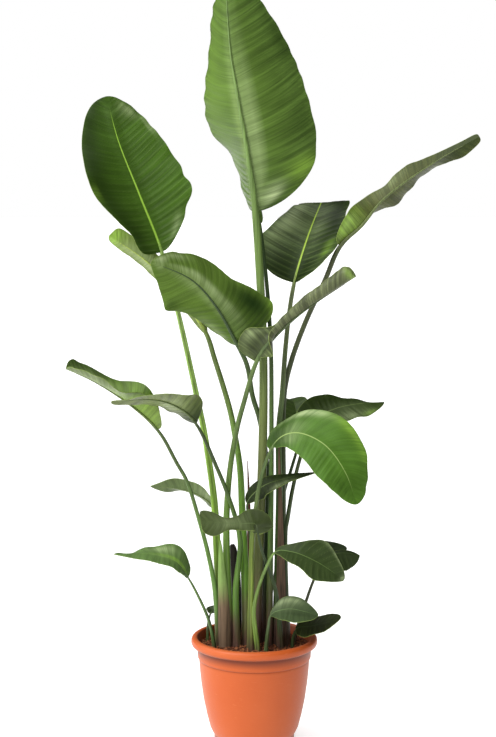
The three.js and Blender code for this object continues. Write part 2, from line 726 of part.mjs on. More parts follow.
// The pot's wall as radius and height pairs: from the foot ring to the groove, the band above it, and the
// inside.
const WALL_OUTLINE = [[78.5, 19], [84.5, 32], [90.4, 55], [96.6, 85], [101, 116], [105.2, 162]];
const BAND_OUTLINE = [[107.2, 164], [108.6, 184]];
const INNER_OUTLINE = [
  [FOOT_RADIUS - WALL, FLOOR],
  [FOOT_RADIUS - WALL, FOOT_HEIGHT],
  ...WALL_OUTLINE.slice(1).map(([r, z]) => [r - WALL, z]),
];

// The rolled bead of the rim: its width, and where the corners of its round section lie.
const BEAD_WIDTH = 8;
const BEAD_ANGLES = [-80, -38, 5, 48, 90];

function potOutline() {
  const beadCentre = POT_HEIGHT - BEAD_HEIGHT / 2;
  const bead = BEAD_ANGLES.map(radians).map((turn) => [
    RIM_RADIUS - BEAD_WIDTH + BEAD_WIDTH * Math.cos(turn),
    beadCentre + (BEAD_HEIGHT / 2) * Math.sin(turn),
  ]);
  const mouth = [[LIP_RADIUS, POT_HEIGHT - WALL], [MOUTH_RADIUS, SOIL_LEVEL]];
  return [
    [0, 0],
    [FOOT_RADIUS - FOOT_BEVEL, 0],
    [FOOT_RADIUS, FOOT_BEVEL],
    [FOOT_RADIUS, FOOT_HEIGHT],
    ...WALL_OUTLINE,
    ...BAND_OUTLINE,
    ...bead,
    ...mouth,
    ...INNER_OUTLINE.toReversed(),
    [0, FLOOR],
  ];
}

// The drainage holes in the pot's floor.
function drainHole(k) {
  const turn = (2 * Math.PI * (k + 0.5)) / DRAIN_HOLES;
  const plug = new THREE.CylinderGeometry(DRAIN_RADIUS, DRAIN_RADIUS, 4 * FLOOR, 8).rotateX(Math.PI / 2);
  return solid(plug.translate(DRAIN_CIRCLE * Math.cos(turn), DRAIN_CIRCLE * Math.sin(turn), 0));
}

function potBody() {
  let body = solid(lathe(potOutline()));
  for (let k = 0; k < DRAIN_HOLES; k++) body = body.subtract(drainHole(k));
  return body;
}

// A round body from radius and height pairs.
function lathe(outline) {
  const profile = outline.map(([r, z]) => new THREE.Vector2(r, z));
  return new THREE.LatheGeometry(profile, POT_SIDES).rotateX(Math.PI / 2);
}

// The potting soil fills the pot to 17 mm under its rim, and its top is uneven.
function soilGeometry() {
  const geometry = lathe([
    [0, FLOOR + SEAT_GAP],
    [FOOT_RADIUS - WALL - SEAT_GAP, FLOOR + SEAT_GAP],
    ...INNER_OUTLINE.slice(1).map(([r, z]) => [r - SEAT_GAP, z]),
    [MOUTH_RADIUS - 1, SOIL_LEVEL - SOIL_EDGE],
    ...SOIL_RINGS.map((r) => [r, SOIL_LEVEL]),
  ]);
  const place = geometry.attributes.position;
  for (let v = 0; v < place.count; v++) {
    if (place.getZ(v) < SOIL_LEVEL) continue;
    place.setZ(v, SOIL_LEVEL + SOIL_ROUGHNESS * rough(place.getX(v), place.getY(v)));
  }
  return geometry;
}

function addPart(group, name, body, colour, roughness) {
  const material = new THREE.MeshStandardMaterial({ color: colour, roughness, metalness: 0 });
  const mesh = new THREE.Mesh(geometryOf(body), material);
  mesh.name = name;
  group.add(mesh);
}

const plant = new THREE.Group();
const grown = [...LEAVES.map(leaf), ...SHEATHS.map(sheath)];
let soil = solid(soilGeometry());
for (const { socket } of grown) soil = soil.subtract(socket);
addPart(plant, "pot", potBody(), TERRACOTTA, PLASTIC_ROUGHNESS);
addPart(plant, "soil", soil, SOIL_BROWN, SOIL_DULLNESS);
for (const { name, colour, body } of grown) addPart(plant, name, body, colour, LEAF_ROUGHNESS);

export default plant;
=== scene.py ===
# %% [markdown]
# This lesson dresses a bird of paradise that grows in a terracotta-coloured nursery pot. The measured
# solids of the plant come first and stay where they are. Each finer piece is then modelled over the solid
# that it stands for, in metres, with +Z up and +Y to the back of the plant. Sizes in the lists below are
# in millimetres, as a gardener would measure them, and MM turns them into metres.

# %% Load the measured plant
import json
import math

import bpy
import numpy as np
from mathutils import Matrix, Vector

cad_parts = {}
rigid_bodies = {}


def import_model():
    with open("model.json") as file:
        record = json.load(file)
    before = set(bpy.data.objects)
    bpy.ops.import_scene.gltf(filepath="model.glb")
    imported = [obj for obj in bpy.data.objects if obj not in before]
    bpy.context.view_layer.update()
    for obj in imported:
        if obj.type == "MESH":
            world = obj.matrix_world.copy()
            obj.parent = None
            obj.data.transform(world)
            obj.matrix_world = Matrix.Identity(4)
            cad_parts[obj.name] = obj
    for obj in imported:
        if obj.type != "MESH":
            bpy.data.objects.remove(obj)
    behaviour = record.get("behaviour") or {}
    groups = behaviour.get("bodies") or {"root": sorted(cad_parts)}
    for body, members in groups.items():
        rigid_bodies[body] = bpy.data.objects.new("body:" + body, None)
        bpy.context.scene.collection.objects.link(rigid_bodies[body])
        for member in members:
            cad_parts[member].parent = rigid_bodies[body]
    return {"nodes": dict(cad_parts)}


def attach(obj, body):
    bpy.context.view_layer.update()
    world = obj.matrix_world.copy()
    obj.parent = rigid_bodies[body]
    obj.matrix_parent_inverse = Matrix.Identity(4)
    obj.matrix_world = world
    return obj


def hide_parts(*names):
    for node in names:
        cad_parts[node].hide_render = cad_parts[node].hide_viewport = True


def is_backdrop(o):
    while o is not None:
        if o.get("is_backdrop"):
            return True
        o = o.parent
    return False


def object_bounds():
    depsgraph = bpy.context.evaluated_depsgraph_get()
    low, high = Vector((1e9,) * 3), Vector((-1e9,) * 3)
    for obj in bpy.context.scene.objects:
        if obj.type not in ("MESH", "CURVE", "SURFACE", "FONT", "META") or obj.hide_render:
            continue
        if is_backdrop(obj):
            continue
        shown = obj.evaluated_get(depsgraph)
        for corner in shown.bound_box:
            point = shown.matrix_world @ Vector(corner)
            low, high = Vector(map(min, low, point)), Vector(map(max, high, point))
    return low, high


MM = 0.001
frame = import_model()
solid_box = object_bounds()
rounded_box = [[round(c, 3) for c in corner] for corner in solid_box]
print("nodes:", len(frame["nodes"]), "box in metres:", rounded_box)

# %% [markdown]
# A product photo of a tall plant is taken from a few metres away, so that the leaves don't look
# stretched. The camera stands 3 m in front of the plant at the height of its upper leaves and looks
# slightly down. The lens follows from the picture: it sees 737 rows over a 36 mm sensor, and one radian
# covers 1615 of these rows.

# %% Camera
EYE = Vector((-12, -3000, 1045)) * MM
LOOKS_DOWN = math.radians(6.25)
ROWS_PER_RADIAN = 1615
PHOTO_ROWS = 737
SENSOR_WIDTH = 36


def placed(name, data, location=(0, 0, 0)):
    """A new object in the scene."""
    made = bpy.data.objects.new(name, data)
    made.location = location
    bpy.context.scene.collection.objects.link(made)
    return made


camera_data = bpy.data.cameras.new("photo_camera")
camera_data.sensor_width = SENSOR_WIDTH
camera_data.lens = ROWS_PER_RADIAN / PHOTO_ROWS * SENSOR_WIDTH
camera = placed("photo_camera", camera_data, EYE)
camera.rotation_euler = (math.pi / 2 - LOOKS_DOWN, 0, 0)
bpy.context.scene.camera = camera
print("lens in mm:", round(camera_data.lens, 1))

# %% [markdown]
# The plant was photographed on white, in soft light from the upper left. A world with one broad bright
# patch in that direction gives the soft part, so the leaves keep deep shades and still carry pale sheens
# on what faces the light. Only the camera sees the world as even white. One lamp in the same direction
# adds crisp highlights. The Standard view keeps the colours as they are set, where the filmic ones would
# turn the white ground grey.

# %% Studio light
WHITE = (1, 1, 1, 1)
SKY_DIM = 0.06
SKY_GLOW = 3.0
SEEN_WHITE = 1.0
GLOW_DIRECTION = Vector((-0.6, -0.3, 0.75))
GLOW_EDGE = 0.32
KEY_PLACE = Vector((-2.6, -2.2, 3.4))
KEY_SIZE = 0.9
KEY_WATTS = 60
LIT_POINT = Vector((0, 0, 0.8))


def fill(tree, node, inputs):
    """Sets the inputs of a node. Each one is a number, a colour or an output of another node."""
    for key, value in inputs.items():
        if isinstance(value, bpy.types.NodeSocket):
            tree.links.new(value, node.inputs[key])
        else:
            node.inputs[key].default_value = value


def add(tree, kind, inputs, **settings):
    """Adds a node with its settings and inputs."""
    made = tree.nodes.new(kind)
    for key, value in settings.items():
        setattr(made, key, value)
    fill(tree, made, inputs)
    return made


def maths(tree, operation, a, b, **settings):
    return add(tree, "ShaderNodeMath", {0: a, 1: b}, operation=operation, **settings).outputs[0]


def blended(tree, share, a, b):
    """Mixes two numbers."""
    return add(tree, "ShaderNodeMix", {0: share, 2: a, 3: b}).outputs[0]


def ramped(tree, value, low, high, to_low=0.0, to_high=1.0):
    """Goes smoothly from one value to another while the input goes from low to high."""
    inputs = {"Value": value, "From Min": low, "From Max": high, "To Min": to_low, "To Max": to_high}
    return add(tree, "ShaderNodeMapRange", inputs, interpolation_type="SMOOTHSTEP").outputs["Result"]


world = bpy.data.worlds.new("white_studio")
world.use_nodes = True
sky = world.node_tree
toward = add(sky, "ShaderNodeTexCoord", {}).outputs["Generated"]
glow_axis = GLOW_DIRECTION.normalized()
facing = add(sky, "ShaderNodeVectorMath", {0: toward, 1: glow_axis}, operation="DOT_PRODUCT")
glow = ramped(sky, facing.outputs["Value"], GLOW_EDGE, 1, SKY_DIM, SKY_DIM + SKY_GLOW)
seen = add(sky, "ShaderNodeLightPath", {}).outputs["Is Camera Ray"]
glow = blended(sky, seen, glow, SEEN_WHITE)
fill(sky, sky.nodes["Background"], {"Strength": glow, "Color": WHITE})
bpy.context.scene.world = world
bpy.context.scene.view_settings.view_transform = "Standard"

key = bpy.data.lights.new("key_lamp", "AREA")
key.size = KEY_SIZE
key.energy = KEY_WATTS
key_lamp = placed("key_lamp", key, KEY_PLACE)
key_lamp.rotation_euler = (LIT_POINT - KEY_PLACE).to_track_quat("-Z", "Y").to_euler()
print("key lamp:", key.energy, "W at", tuple(round(c, 1) for c in KEY_PLACE))

# %% [markdown]
# The plant in the photo was cut out, so its ground is nothing but white. A floor that only reflects light
# comes out grey under the pot. This one is a wide square that also gives off a faint light of its own, so
# it meets the white of the world without an edge and still shows a soft shadow beside the pot. The helper
# that starts its finish starts all the others too.

# %% Pale floor
FLOOR_SIZE = 120
FLOOR_WHITE = (0.55, 0.55, 0.548, 1)
FLOOR_ROUGHNESS = 0.9
FLOOR_GLOW = 0.75


def new_finish(name, settings):
    """An empty finish and its node tree. The settings are constants of its surface shader."""
    finish = bpy.data.materials.new(name)
    finish.use_nodes = True
    fill(finish.node_tree, finish.node_tree.nodes["Principled BSDF"], settings)
    return finish, finish.node_tree


half_floor = FLOOR_SIZE / 2
floor_corners = [(x * half_floor, y * half_floor, 0) for x, y in ((-1, -1), (1, -1), (1, 1), (-1, 1))]
floor_mesh = bpy.data.meshes.new("floor")
floor_mesh.from_pydata(floor_corners, [], [(0, 1, 2, 3)])
floor = placed("floor", floor_mesh)
glowing = {"Emission Color": WHITE, "Emission Strength": FLOOR_GLOW}
reflecting = {"Base Color": FLOOR_WHITE, "Roughness": FLOOR_ROUGHNESS}
floor_finish, _ = new_finish("pale_floor", {**reflecting, **glowing})
floor_mesh.materials.append(floor_finish)
floor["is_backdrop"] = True
print("floor width in metres:", FLOOR_SIZE)

# %% [markdown]
# Every piece of this plant is long and bent, so each one starts as a smooth route through a few places. A
# centripetal Catmull-Rom curve passes through all of them without loops. It is sampled finely once, and
# after that a place or a direction on it is looked up by its length from the foot.

# %% Routes
ROUTE_STEPS = 2400


def smooth_route(places):
    """Points, directions and lengths along a smooth curve through the given places, in millimetres."""
    knots = np.array(places, float)
    padded = np.vstack([2 * knots[0] - knots[1], knots, 2 * knots[-1] - knots[-2]])
    place = np.linspace(0, len(knots) - 1, ROUTE_STEPS + 1)
    k = np.minimum(place.astype(int), len(knots) - 2)
    w = (place - k)[:, None]
    a, b, c, d = (padded[k + i] for i in range(4))
    ab, bc, cd = (np.sqrt(np.linalg.norm(q - p, axis=1))[:, None] for p, q in ((a, b), (b, c), (c, d)))
    leaving = ((b - a) / ab - (c - a) / (ab + bc) + (c - b) / bc) * bc
    arriving = ((c - b) / bc - (d - b) / (bc + cd) + (d - c) / cd) * bc
    points = b + leaving * w + (3 * (c - b) - 2 * leaving - arriving) * w**2
    points += (2 * (b - c) + leaving + arriving) * w**3
    lengths = np.concatenate([[0], np.cumsum(np.linalg.norm(np.diff(points, axis=0), axis=1))])
    directions = np.gradient(points, axis=0)
    directions /= np.linalg.norm(directions, axis=1)[:, None]
    return {"points": points, "directions": directions, "lengths": lengths}


def on_route(route, what, length):
    """Looks up points or directions at lengths from the foot."""
    columns = [np.interp(length, route["lengths"], route[what][:, axis]) for axis in range(3)]
    return np.stack(columns, axis=-1)


def unit(vectors):
    return vectors / np.linalg.norm(vectors, axis=-1, keepdims=True)


def through(values, t):
    """A smooth curve through values that lie evenly from t = 0 to t = 1."""
    values = np.array(values, float)
    padded = np.concatenate([[2 * values[0] - values[1]], values, [2 * values[-1] - values[-2]]])
    place = np.clip(t, 0, 1) * (len(values) - 1)
    k = np.minimum(place.astype(int), len(values) - 2)
    w = place - k
    a, b, c, d = (padded[k + i] for i in range(4))
    bend = (2 * a - 5 * b + 4 * c - d) * w**2 + (3 * b - a - 3 * c + d) * w**3
    return 0.5 * (2 * b + (c - a) * w + bend)


def ease(low, high, x):
    """Goes smoothly from 0 at low to 1 at high."""
    w = np.clip((x - low) / (high - low), 0, 1)
    return w * w * (3 - 2 * w)


sample = smooth_route([(0, 0, 0), (10, 0, 40), (0, 0, 80)])
print("a bent route over 80 mm is", round(sample["lengths"][-1], 1), "mm long")

# %% [markdown]
# A blade is a thin solid, so it is built as two sheets of points a little apart, joined by a narrow rim.
# One helper makes that solid from a grid, one makes a closed tube from rings, and a last one turns such
# parts into one Blender object. The facts that the finishes need later, such as how far a point lies from
# the midrib, travel with the mesh as attributes.

# %% Meshes from grids
def grid_faces(rows, columns, closed=False):
    """Quads of a grid of points. A closed grid joins its last column to its first."""
    i, j = np.meshgrid(np.arange(rows - 1), np.arange(columns if closed else columns - 1), indexing="ij")
    right = (j + 1) % columns
    corners = [i * columns + j, i * columns + right, (i + 1) * columns + right, (i + 1) * columns + j]
    return np.stack(corners, axis=-1).reshape(-1, 4)


def grid_normals(points):
    """A unit normal for each point of a grid, from its neighbours."""
    return unit(np.cross(np.gradient(points, axis=1), np.gradient(points, axis=0)))


def thick_sheet(points, thickness):
    """Points and faces of a thin solid. The upper sheet comes first and the under sheet second."""
    rows, columns = points.shape[:2]
    offset = grid_normals(points) * thickness / 2
    both = np.vstack([(points + offset).reshape(-1, 3), (points - offset).reshape(-1, 3)])
    count = rows * columns
    index = np.arange(count).reshape(rows, columns)
    border = np.concatenate([index[0, :-1], index[:-1, -1], index[-1, :0:-1], index[:0:-1, 0]])
    following = np.roll(border, -1)
    rim = np.stack([following, border, border + count, following + count], axis=-1)
    faces = grid_faces(rows, columns)
    return both, [faces, faces[:, ::-1] + count, rim]


def tube(rings):
    """Points and faces of a closed tube from rings of points."""
    count, sides = rings.shape[:2]
    ends = np.stack([rings[0].mean(axis=0), rings[-1].mean(axis=0)])
    around = np.arange(sides)
    following = (around + 1) % sides
    last = (count - 1) * sides
    foot = np.stack([np.full(sides, count * sides), following, around], axis=-1)
    tip = np.stack([np.full(sides, count * sides + 1), last + around, last + following], axis=-1)
    return np.vstack([rings.reshape(-1, 3), ends]), [grid_faces(count, sides, closed=True), foot, tip]


def build_piece(name, parts, finishes):
    """One smooth object in metres. Each part gives points in millimetres, faces, a slot and facts."""
    corners, starts, slots = [], [], []
    first_point = 0
    first_corner = 0
    for points, face_sets, slot, _ in parts:
        for faces in face_sets:
            corners.append((faces + first_point).ravel())
            starts.append(first_corner + np.arange(0, faces.size, faces.shape[1]))
            slots.append(np.full(len(faces), slot))
            first_corner += faces.size
        first_point += len(points)
    mesh = bpy.data.meshes.new(name)
    mesh.vertices.add(first_point)
    places = np.vstack([part[0] for part in parts])
    mesh.vertices.foreach_set("co", places.astype(np.float32).ravel() * MM)
    mesh.loops.add(first_corner)
    mesh.loops.foreach_set("vertex_index", np.concatenate(corners).astype(np.int32))
    mesh.polygons.add(len(np.concatenate(starts)))
    mesh.polygons.foreach_set("loop_start", np.concatenate(starts).astype(np.int32))
    mesh.polygons.foreach_set("material_index", np.concatenate(slots).astype(np.int32))
    mesh.update(calc_edges=True)
    mesh.shade_smooth()
    for finish in finishes:
        mesh.materials.append(finish)
    for key in sorted({key for part in parts for key in part[3]}):
        values = [np.broadcast_to(part[3].get(key, 0), len(part[0])) for part in parts]
        attribute = mesh.attributes.new(key, "FLOAT", "POINT")
        attribute.data.foreach_set("value", np.concatenate(values).astype(np.float32))
    return placed(name, mesh)


def triangle_count(piece):
    return sum(len(face.vertices) - 2 for face in piece.data.polygons)


square = np.array([[(0, 0, 0), (10, 0, 0)], [(0, 10, 0), (10, 10, 0)]], float)
print("a thick square has", len(thick_sheet(square, 1)[0]), "points")

# %% [markdown]
# A half of a blade is described at places that lie evenly from its base to its tip: how wide it is, how
# steeply it rises beside the midrib, and how far it curls from there to the margin. Two powers say how
# round the base and the tip are. A wave is the height, the number and the start of slow ups and downs
# along the margin. A lobe draws the base back past the end of the stalk, and a cut is a notch in the
# margin. With such a short list for each half, the real leaf can be followed closely.

# %% Halves of a blade
FLAT = [0, 0]


def half(width, shape, lift, curl=FLAT, wave=(0, 0, 0), lobe=0, cuts=()):
    """Widths and waves are in millimetres, lift and curl in degrees."""
    return dict(width=width, shape=shape, lift=lift, curl=curl, wave=wave, lobe=lobe, cuts=cuts)


LEAVES = {}
print("a flat half:", half([40, 40], (0.5, 0.5), [0, 0]))

# %% [markdown]
# The tallest leaf shows its under side, with one half folded towards the viewer. A young leaf, still
# rolled like a cigar, stands behind its stalk. The large leaf at the left turns its dark upper side to
# the viewer, and the two at the right arch to the back and point outwards. Each leaf is a list of places
# for its stalk and for its midrib, the radius of the stalk at both ends, the way the upper side looks
# from the base to the tip, and a right and a left half.

# %% The tallest leaves
LEAVES["leaf_top"] = dict(
    stalk=[
        (3, 10, 190), (8, 10, 350), (14, 4, 505), (17, 5, 657), (16, 10, 770), (10, 12, 891),
        (1, 11, 1015),
    ],
    rib=[(-14, 14, 1122), (-30, 22, 1213), (-45, 34, 1305), (-55, 60, 1450)],
    radius=(9, 7.2),
    face=[(0, 1, 0), (0, 1, 0), (0, 1, 0.2)],
    right=half(
        [116, 134, 136, 145, 123, 119, 127, 134, 105], (0.38, 0.62), [76, 74, 54, 63, 62], curl=[10, 10],
        wave=(0.8, 3, 0),
    ),
    left=half(
        [184, 186, 165, 147, 136, 130, 126, 118, 117], (0.6, 0.62), [13, 15, 16], curl=[14, 16, 10],
        wave=(1.2, 2, 0.1),
    ),
)
SPEAR_HALF = half([14, 16], (0.25, 0.6), [10, 10], curl=[40, 130, 150, 140, 100, 20])
LEAVES["leaf_young_spear"] = dict(
    stalk=[
        (28, -4, 190), (30, -4, 355), (31, -2, 432), (32, 0, 526), (32, 3, 632), (31, 6, 747),
        (24, 22, 863), (9, 34, 990),
    ],
    rib=[(-6, 44, 1080), (-18, 60, 1180), (-30, 80, 1270)],
    radius=(5.6, 3.6),
    face=[(0, 1, 0)] * 3,
    right=SPEAR_HALF,
    left=SPEAR_HALF,
)
LEAVES["leaf_upper_left"] = dict(
    stalk=[
        (-62, 8, 190), (-65, 8, 272), (-71, 8, 379), (-76, 9, 465), (-86, 12, 541), (-97, 16, 608),
        (-110, 21, 668), (-144, 34, 820), (-176, 50, 936),
    ],
    rib=[(-218, 66, 1042), (-258, 86, 1142), (-281, 110, 1225)],
    radius=(8.6, 4.2),
    face=[(0.2, -1, 0.3), (0.2, -1, 0.3), (0.1, -1, 0.5)],
    right=half(
        [48, 79, 102, 99, 90, 88, 88, 91, 84], (0.42, 0.5), [20, 14, 0], curl=[-6, -10, -30],
        wave=(2, 3, 0.2), cuts=[(0.2, 7), (0.38, 6)],
    ),
    left=half(
        [60, 49, 62, 80, 92, 94, 95, 98, 114], (0.22, 0.5), [20, 18, 10], curl=[-10, -10, -20],
        wave=(3, 3, 0.6),
    ),
)
LEAVES["leaf_upper_right"] = dict(
    stalk=[
        (44, 6, 190), (46, 9, 390), (47, 13, 480), (46, 14, 600), (52, 15, 662), (58, 20, 748),
        (66, 30, 822), (76, 42, 878),
    ],
    rib=[(101, 72, 958), (126, 110, 1018), (130, 150, 1020), (128, 200, 955)],
    radius=(8.4, 4),
    face=[(0, -1, 0.2), (0.1, -0.3, 1), (0, 1, 0.3)],
    right=half(
        [60, 92, 92, 88, 70, 60, 56, 60, 60], (0.35, 0.5), [65, 50, 36, 12, 0], curl=[0, -20, -10],
        wave=(2, 3, 0),
    ),
    left=half(
        [92, 107, 92, 73, 60, 48, 54, 60, 60], (0.35, 0.5), [10, 6, 0], curl=[0, -20, -10],
        wave=(2, 2, 0.3),
    ),
)
LEAVES["leaf_far_right"] = dict(
    stalk=[
        (58, 20, 190), (54, 25, 386), (54, 28, 502), (56, 31, 665), (69, 32, 726), (96, 32, 801),
        (131, 19, 879), (161, 2, 950),
    ],
    rib=[(197, -10, 985), (234, -18, 1030), (327, -12, 1097), (411, -20, 1145)],
    radius=(7.4, 4.8),
    face=[(-0.5, 0.2, 0.8), (-0.3, 0.9, 0.4), (-0.3, 0.9, 0.4)],
    right=half(
        [38, 46, 46, 29, 22, 27, 27, 20, 13, 13, 16], (0.35, 0.2), [30, 50, 70, 68, 72, 72],
        wave=(2, 4, 0),
    ),
    left=half(
        [14, 18, 42, 30, 26, 18], (0.35, 0.25), [0, 5, 35, 27, 16, 29, 43, 40, 29, -18, -30],
        wave=(3, 4, 0.5),
    ),
)
print("leaves so far:", len(LEAVES))

# %% [markdown]
# Below the tallest leaves hang the ones that arch over. Two of them show their under side, one is still
# half rolled, and the bright one at the right droops like a ladle, with two dark ones behind it.

# %% The leaves of the middle storey
LEAVES["leaf_back_left"] = dict(
    stalk=[
        (-14, 2, 190), (-20, 4, 380), (-23, 8, 444), (-27, 14, 524), (-35, 20, 578), (-46, 28, 634),
        (-76, 45, 732), (-93, 56, 782),
    ],
    rib=[(-142, 74, 849), (-209, 96, 915), (-280, 120, 960)],
    radius=(8, 4.6),
    face=[(0.3, 0.9, 0.3)] * 3,
    right=half([30, 25, 24, 22, 22], (0.4, 0.22), [24, 26]),
    left=half([50, 46, 34, 26, 34], (0.4, 0.14), [104, 96, 74, 62, 58]),
)
LEAVES["leaf_arching_left"] = dict(
    stalk=[
        (17, 26, 190), (21, 27, 385), (22, 25, 540), (10, 18, 618), (-3, 8, 662), (-14, -18, 725),
        (-32, -36, 766),
    ],
    rib=[(-71, -54, 838), (-114, -70, 886), (-185, -100, 920)],
    radius=(7.4, 4.2),
    face=[(0.2, 0.95, 0.3), (0.1, 0.95, 0.4), (0, 0.6, 0.8)],
    right=half(
        [48, 52, 58, 57, 70, 89, 88, 72, 60], (0.35, 0.6), [36, 26, 0, -10, 0], curl=[10, 10],
        wave=(2, 3, 0),
    ),
    left=half(
        [118, 111, 90, 75, 73, 78, 73, 73, 80], (0.3, 0.7), [30, 40, 60, 68, 50], curl=[20, 20],
        wave=(2, 3, 0.5),
    ),
)
LEAVES["leaf_rolled"] = dict(
    stalk=[
        (-47, -4, 190), (-53, -10, 402), (-51, -13, 470), (-44, -19, 543), (-32, -26, 610),
        (-21, -37, 653), (8, -58, 747),
    ],
    rib=[(30, -68, 777), (82, -84, 826), (181, -112, 894)],
    radius=(8, 4.2),
    face=[(-0.5, 0.3, 0.8), (-0.5, 0.2, 0.8), (-0.5, 0, 0.8)],
    right=half(
        [16, 46, 22, 23, 26, 29, 31, 38, 48], (0.3, 0.15), [-70, -74, -20, 0, 0, 0, 0, 0, 0],
        curl=[0, 30, 110, 160, 165, 165, 165, 165, 165],
    ),
    left=half(
        [76, 56, 22, 23, 26, 29, 31, 38, 48], (0.2, 0.15), [95, 85, 30, 0, 0, 0, 0, 0, 0],
        curl=[0, 30, 110, 160, 165, 165, 165, 165, 165], lobe=10,
    ),
)
LEAVES["leaf_bright_right"] = dict(
    stalk=[(-7, -33, 190), (-6, -34, 302), (-5, -40, 388), (3, -48, 466), (13, -50, 520), (35, -52, 580)],
    rib=[(56, -60, 600), (84, -72, 605), (129, -98, 586), (164, -120, 540), (184, -134, 485)],
    radius=(6.5, 3),
    face=[(-0.3, -0.5, 1), (0.2, -0.8, 0.6), (0.6, -0.8, 0.3)],
    right=half([46, 47, 52, 58, 50], (0.5, 0.5), [10, 10], curl=[-20, -20], wave=(1.5, 3, 0)),
    left=half([33, 64, 78, 77, 74], (0.18, 0.5), [10, 10], curl=[-20, -20], wave=(3, 3, 0.2), lobe=9),
)
LEAVES["leaf_dark_right"] = dict(
    stalk=[(62, -2, 190), (59, 2, 409), (63, 4, 432), (72, 8, 485), (86, 14, 543), (111, 26, 614)],
    rib=[(148, 40, 633), (196, 58, 642), (250, 80, 643)],
    radius=(6, 3),
    face=[(-0.3, -0.3, 1), (0, -0.3, 1), (0, -0.3, 1)],
    right=half([42, 42], (0.4, 0.7), [5, -12, -10, -25, -17]),
    left=half([40, 40, 40, 42, 42], (0.25, 0.7), [60, 40, 8, -9, -40], lobe=24),
)
LEAVES["leaf_dark_behind"] = dict(
    stalk=[(44, 33, 190), (50, 42, 404), (57, 48, 472), (70, 54, 514), (84, 64, 565)],
    rib=[(84, 84, 603), (78, 126, 635), (70, 184, 635)],
    radius=(6.5, 2.6),
    face=[(0, -1, 0.5), (0, -0.4, 1), (0, 0, 1)],
    right=half([30, 30], (0.4, 0.7), [20, 20, 20]),
    left=half([26, 26], (0.4, 0.7), [20, 20, 20]),
)
print("leaves so far:", len(LEAVES))

# %% [markdown]
# Four leaves lean out to the left on thin stalks. Their halves are folded up beside the midrib, as young
# leaves are, so that they look narrow from the front.

# %% The leaves at the left
LEAVES["leaf_middle_left"] = dict(
    stalk=[
        (-68, -5, 190), (-74, -5, 295), (-87, -8, 367), (-103, -12, 430), (-126, -20, 507),
        (-144, -24, 541), (-181, -38, 610),
    ],
    rib=[(-230, -52, 657), (-294, -72, 701), (-343, -86, 725)],
    radius=(5.2, 3.4),
    face=[(0.6, 0, 0.8), (0.5, 0, 0.85), (0.4, 0, 0.9)],
    right=half([52, 51, 50, 49, 44], (0.35, 0.25), [25, 72, 25, 20, 40], wave=(2, 3, 0.2)),
    left=half([42, 51, 48, 42, 36], (0.35, 0.25), [36, 58, 25, 26, 30], wave=(1.5, 3, 0)),
)
LEAVES["leaf_middle_left_front"] = dict(
    stalk=[
        (-33, -10, 190), (-35, -12, 297), (-27, -18, 394), (-48, -28, 478), (-70, -38, 536),
        (-108, -60, 623),
    ],
    rib=[(-133, -80, 651), (-175, -108, 671), (-256, -138, 673)],
    radius=(6.8, 3),
    face=[(0.4, 0.5, 0.8), (0.2, 0.5, 0.8), (0, 0.2, 1)],
    right=half([52, 45, 37, 26, 20], (0.35, 0.3), [8, 5, 5, -8, -30]),
    left=half([60, 54, 42, 29, 23], (0.5, 0.3), [80, 36, 4, 0, 0], wave=(1.5, 2, 0), lobe=-5),
)
LEAVES["leaf_low_left"] = dict(
    stalk=[(-68, 28, 190), (-75, 34, 346), (-80, 38, 447)],
    rib=[(-101, 40, 466), (-141, 42, 480), (-199, 44, 485)],
    radius=(3.5, 2.2),
    face=[(0.4, 0.3, 0.8), (0.1, 0.4, 0.8), (0, 0.3, 1)],
    right=half([26, 25, 23], (0.4, 0.8), [-9, 3, 12, 4, -31, -40]),
    left=half([8, 24, 22, 31, 24], (0.4, 0.8), [10, 34, 45, 44, 30], wave=(1.5, 2, 0.2)),
)
LEAVES["leaf_lowest_left"] = dict(
    stalk=[(-76, -20, 190), (-86, -22, 241), (-112, -30, 303), (-125, -34, 328)],
    rib=[(-146, -42, 358), (-194, -60, 377), (-260, -80, 381)],
    radius=(3.6, 1.8),
    face=[(0.4, -0.3, 0.8), (0.1, -0.4, 0.8), (0, -0.3, 1)],
    right=half([32, 34, 30, 42, 36], (0.4, 0.9), [10, 22, 0, -30, -10], wave=(3, 3, 0.3)),
    left=half([32, 32], (0.4, 0.9), [20, 10, 10, 0, 0]),
)
print("leaves so far:", len(LEAVES))

# %% [markdown]
# The youngest plants in the clump have small leaves close to the rim. They are built in the same way,
# with shorter lists.

# %% The small leaves above the pot
LEAVES["leaf_centre_front"] = dict(
    stalk=[(50, -22, 190), (40, -34, 301), (21, -50, 359), (10, -62, 398), (5, -71, 424)],
    rib=[(1, -77, 437), (-28, -86, 439), (-65, -98, 444), (-98, -106, 448)],
    radius=(5, 2),
    face=[(0, -0.9, 0.4), (0, -0.7, 0.7), (0, -0.6, 0.8)],
    right=half([36, 33, 19, 13, 26, 36], (0.12, 0.12), [-10, 0], lobe=9),
    left=half([14, 18, 14, 18, 32, 34], (0.2, 0.14), [10, 0], wave=(1.5, 2, 0), lobe=4),
)
LEAVES["leaf_centre_dark"] = dict(
    stalk=[(-4, -20, 190), (-6, -20, 356), (-10, -20, 433), (-13, -22, 467)],
    rib=[(14, -21, 496), (57, -34, 514), (118, -42, 528)],
    radius=(4.5, 2),
    face=[(-0.4, 0.4, 0.8), (-0.2, 0.3, 0.8), (0, 0.3, 1)],
    right=half([26, 33, 27, 26, 24], (0.4, 0.8), [-50, -50, -40, -30, -30]),
    left=half([20, 20], (0.4, 0.8), [60, 62, 43, 30, 20]),
)
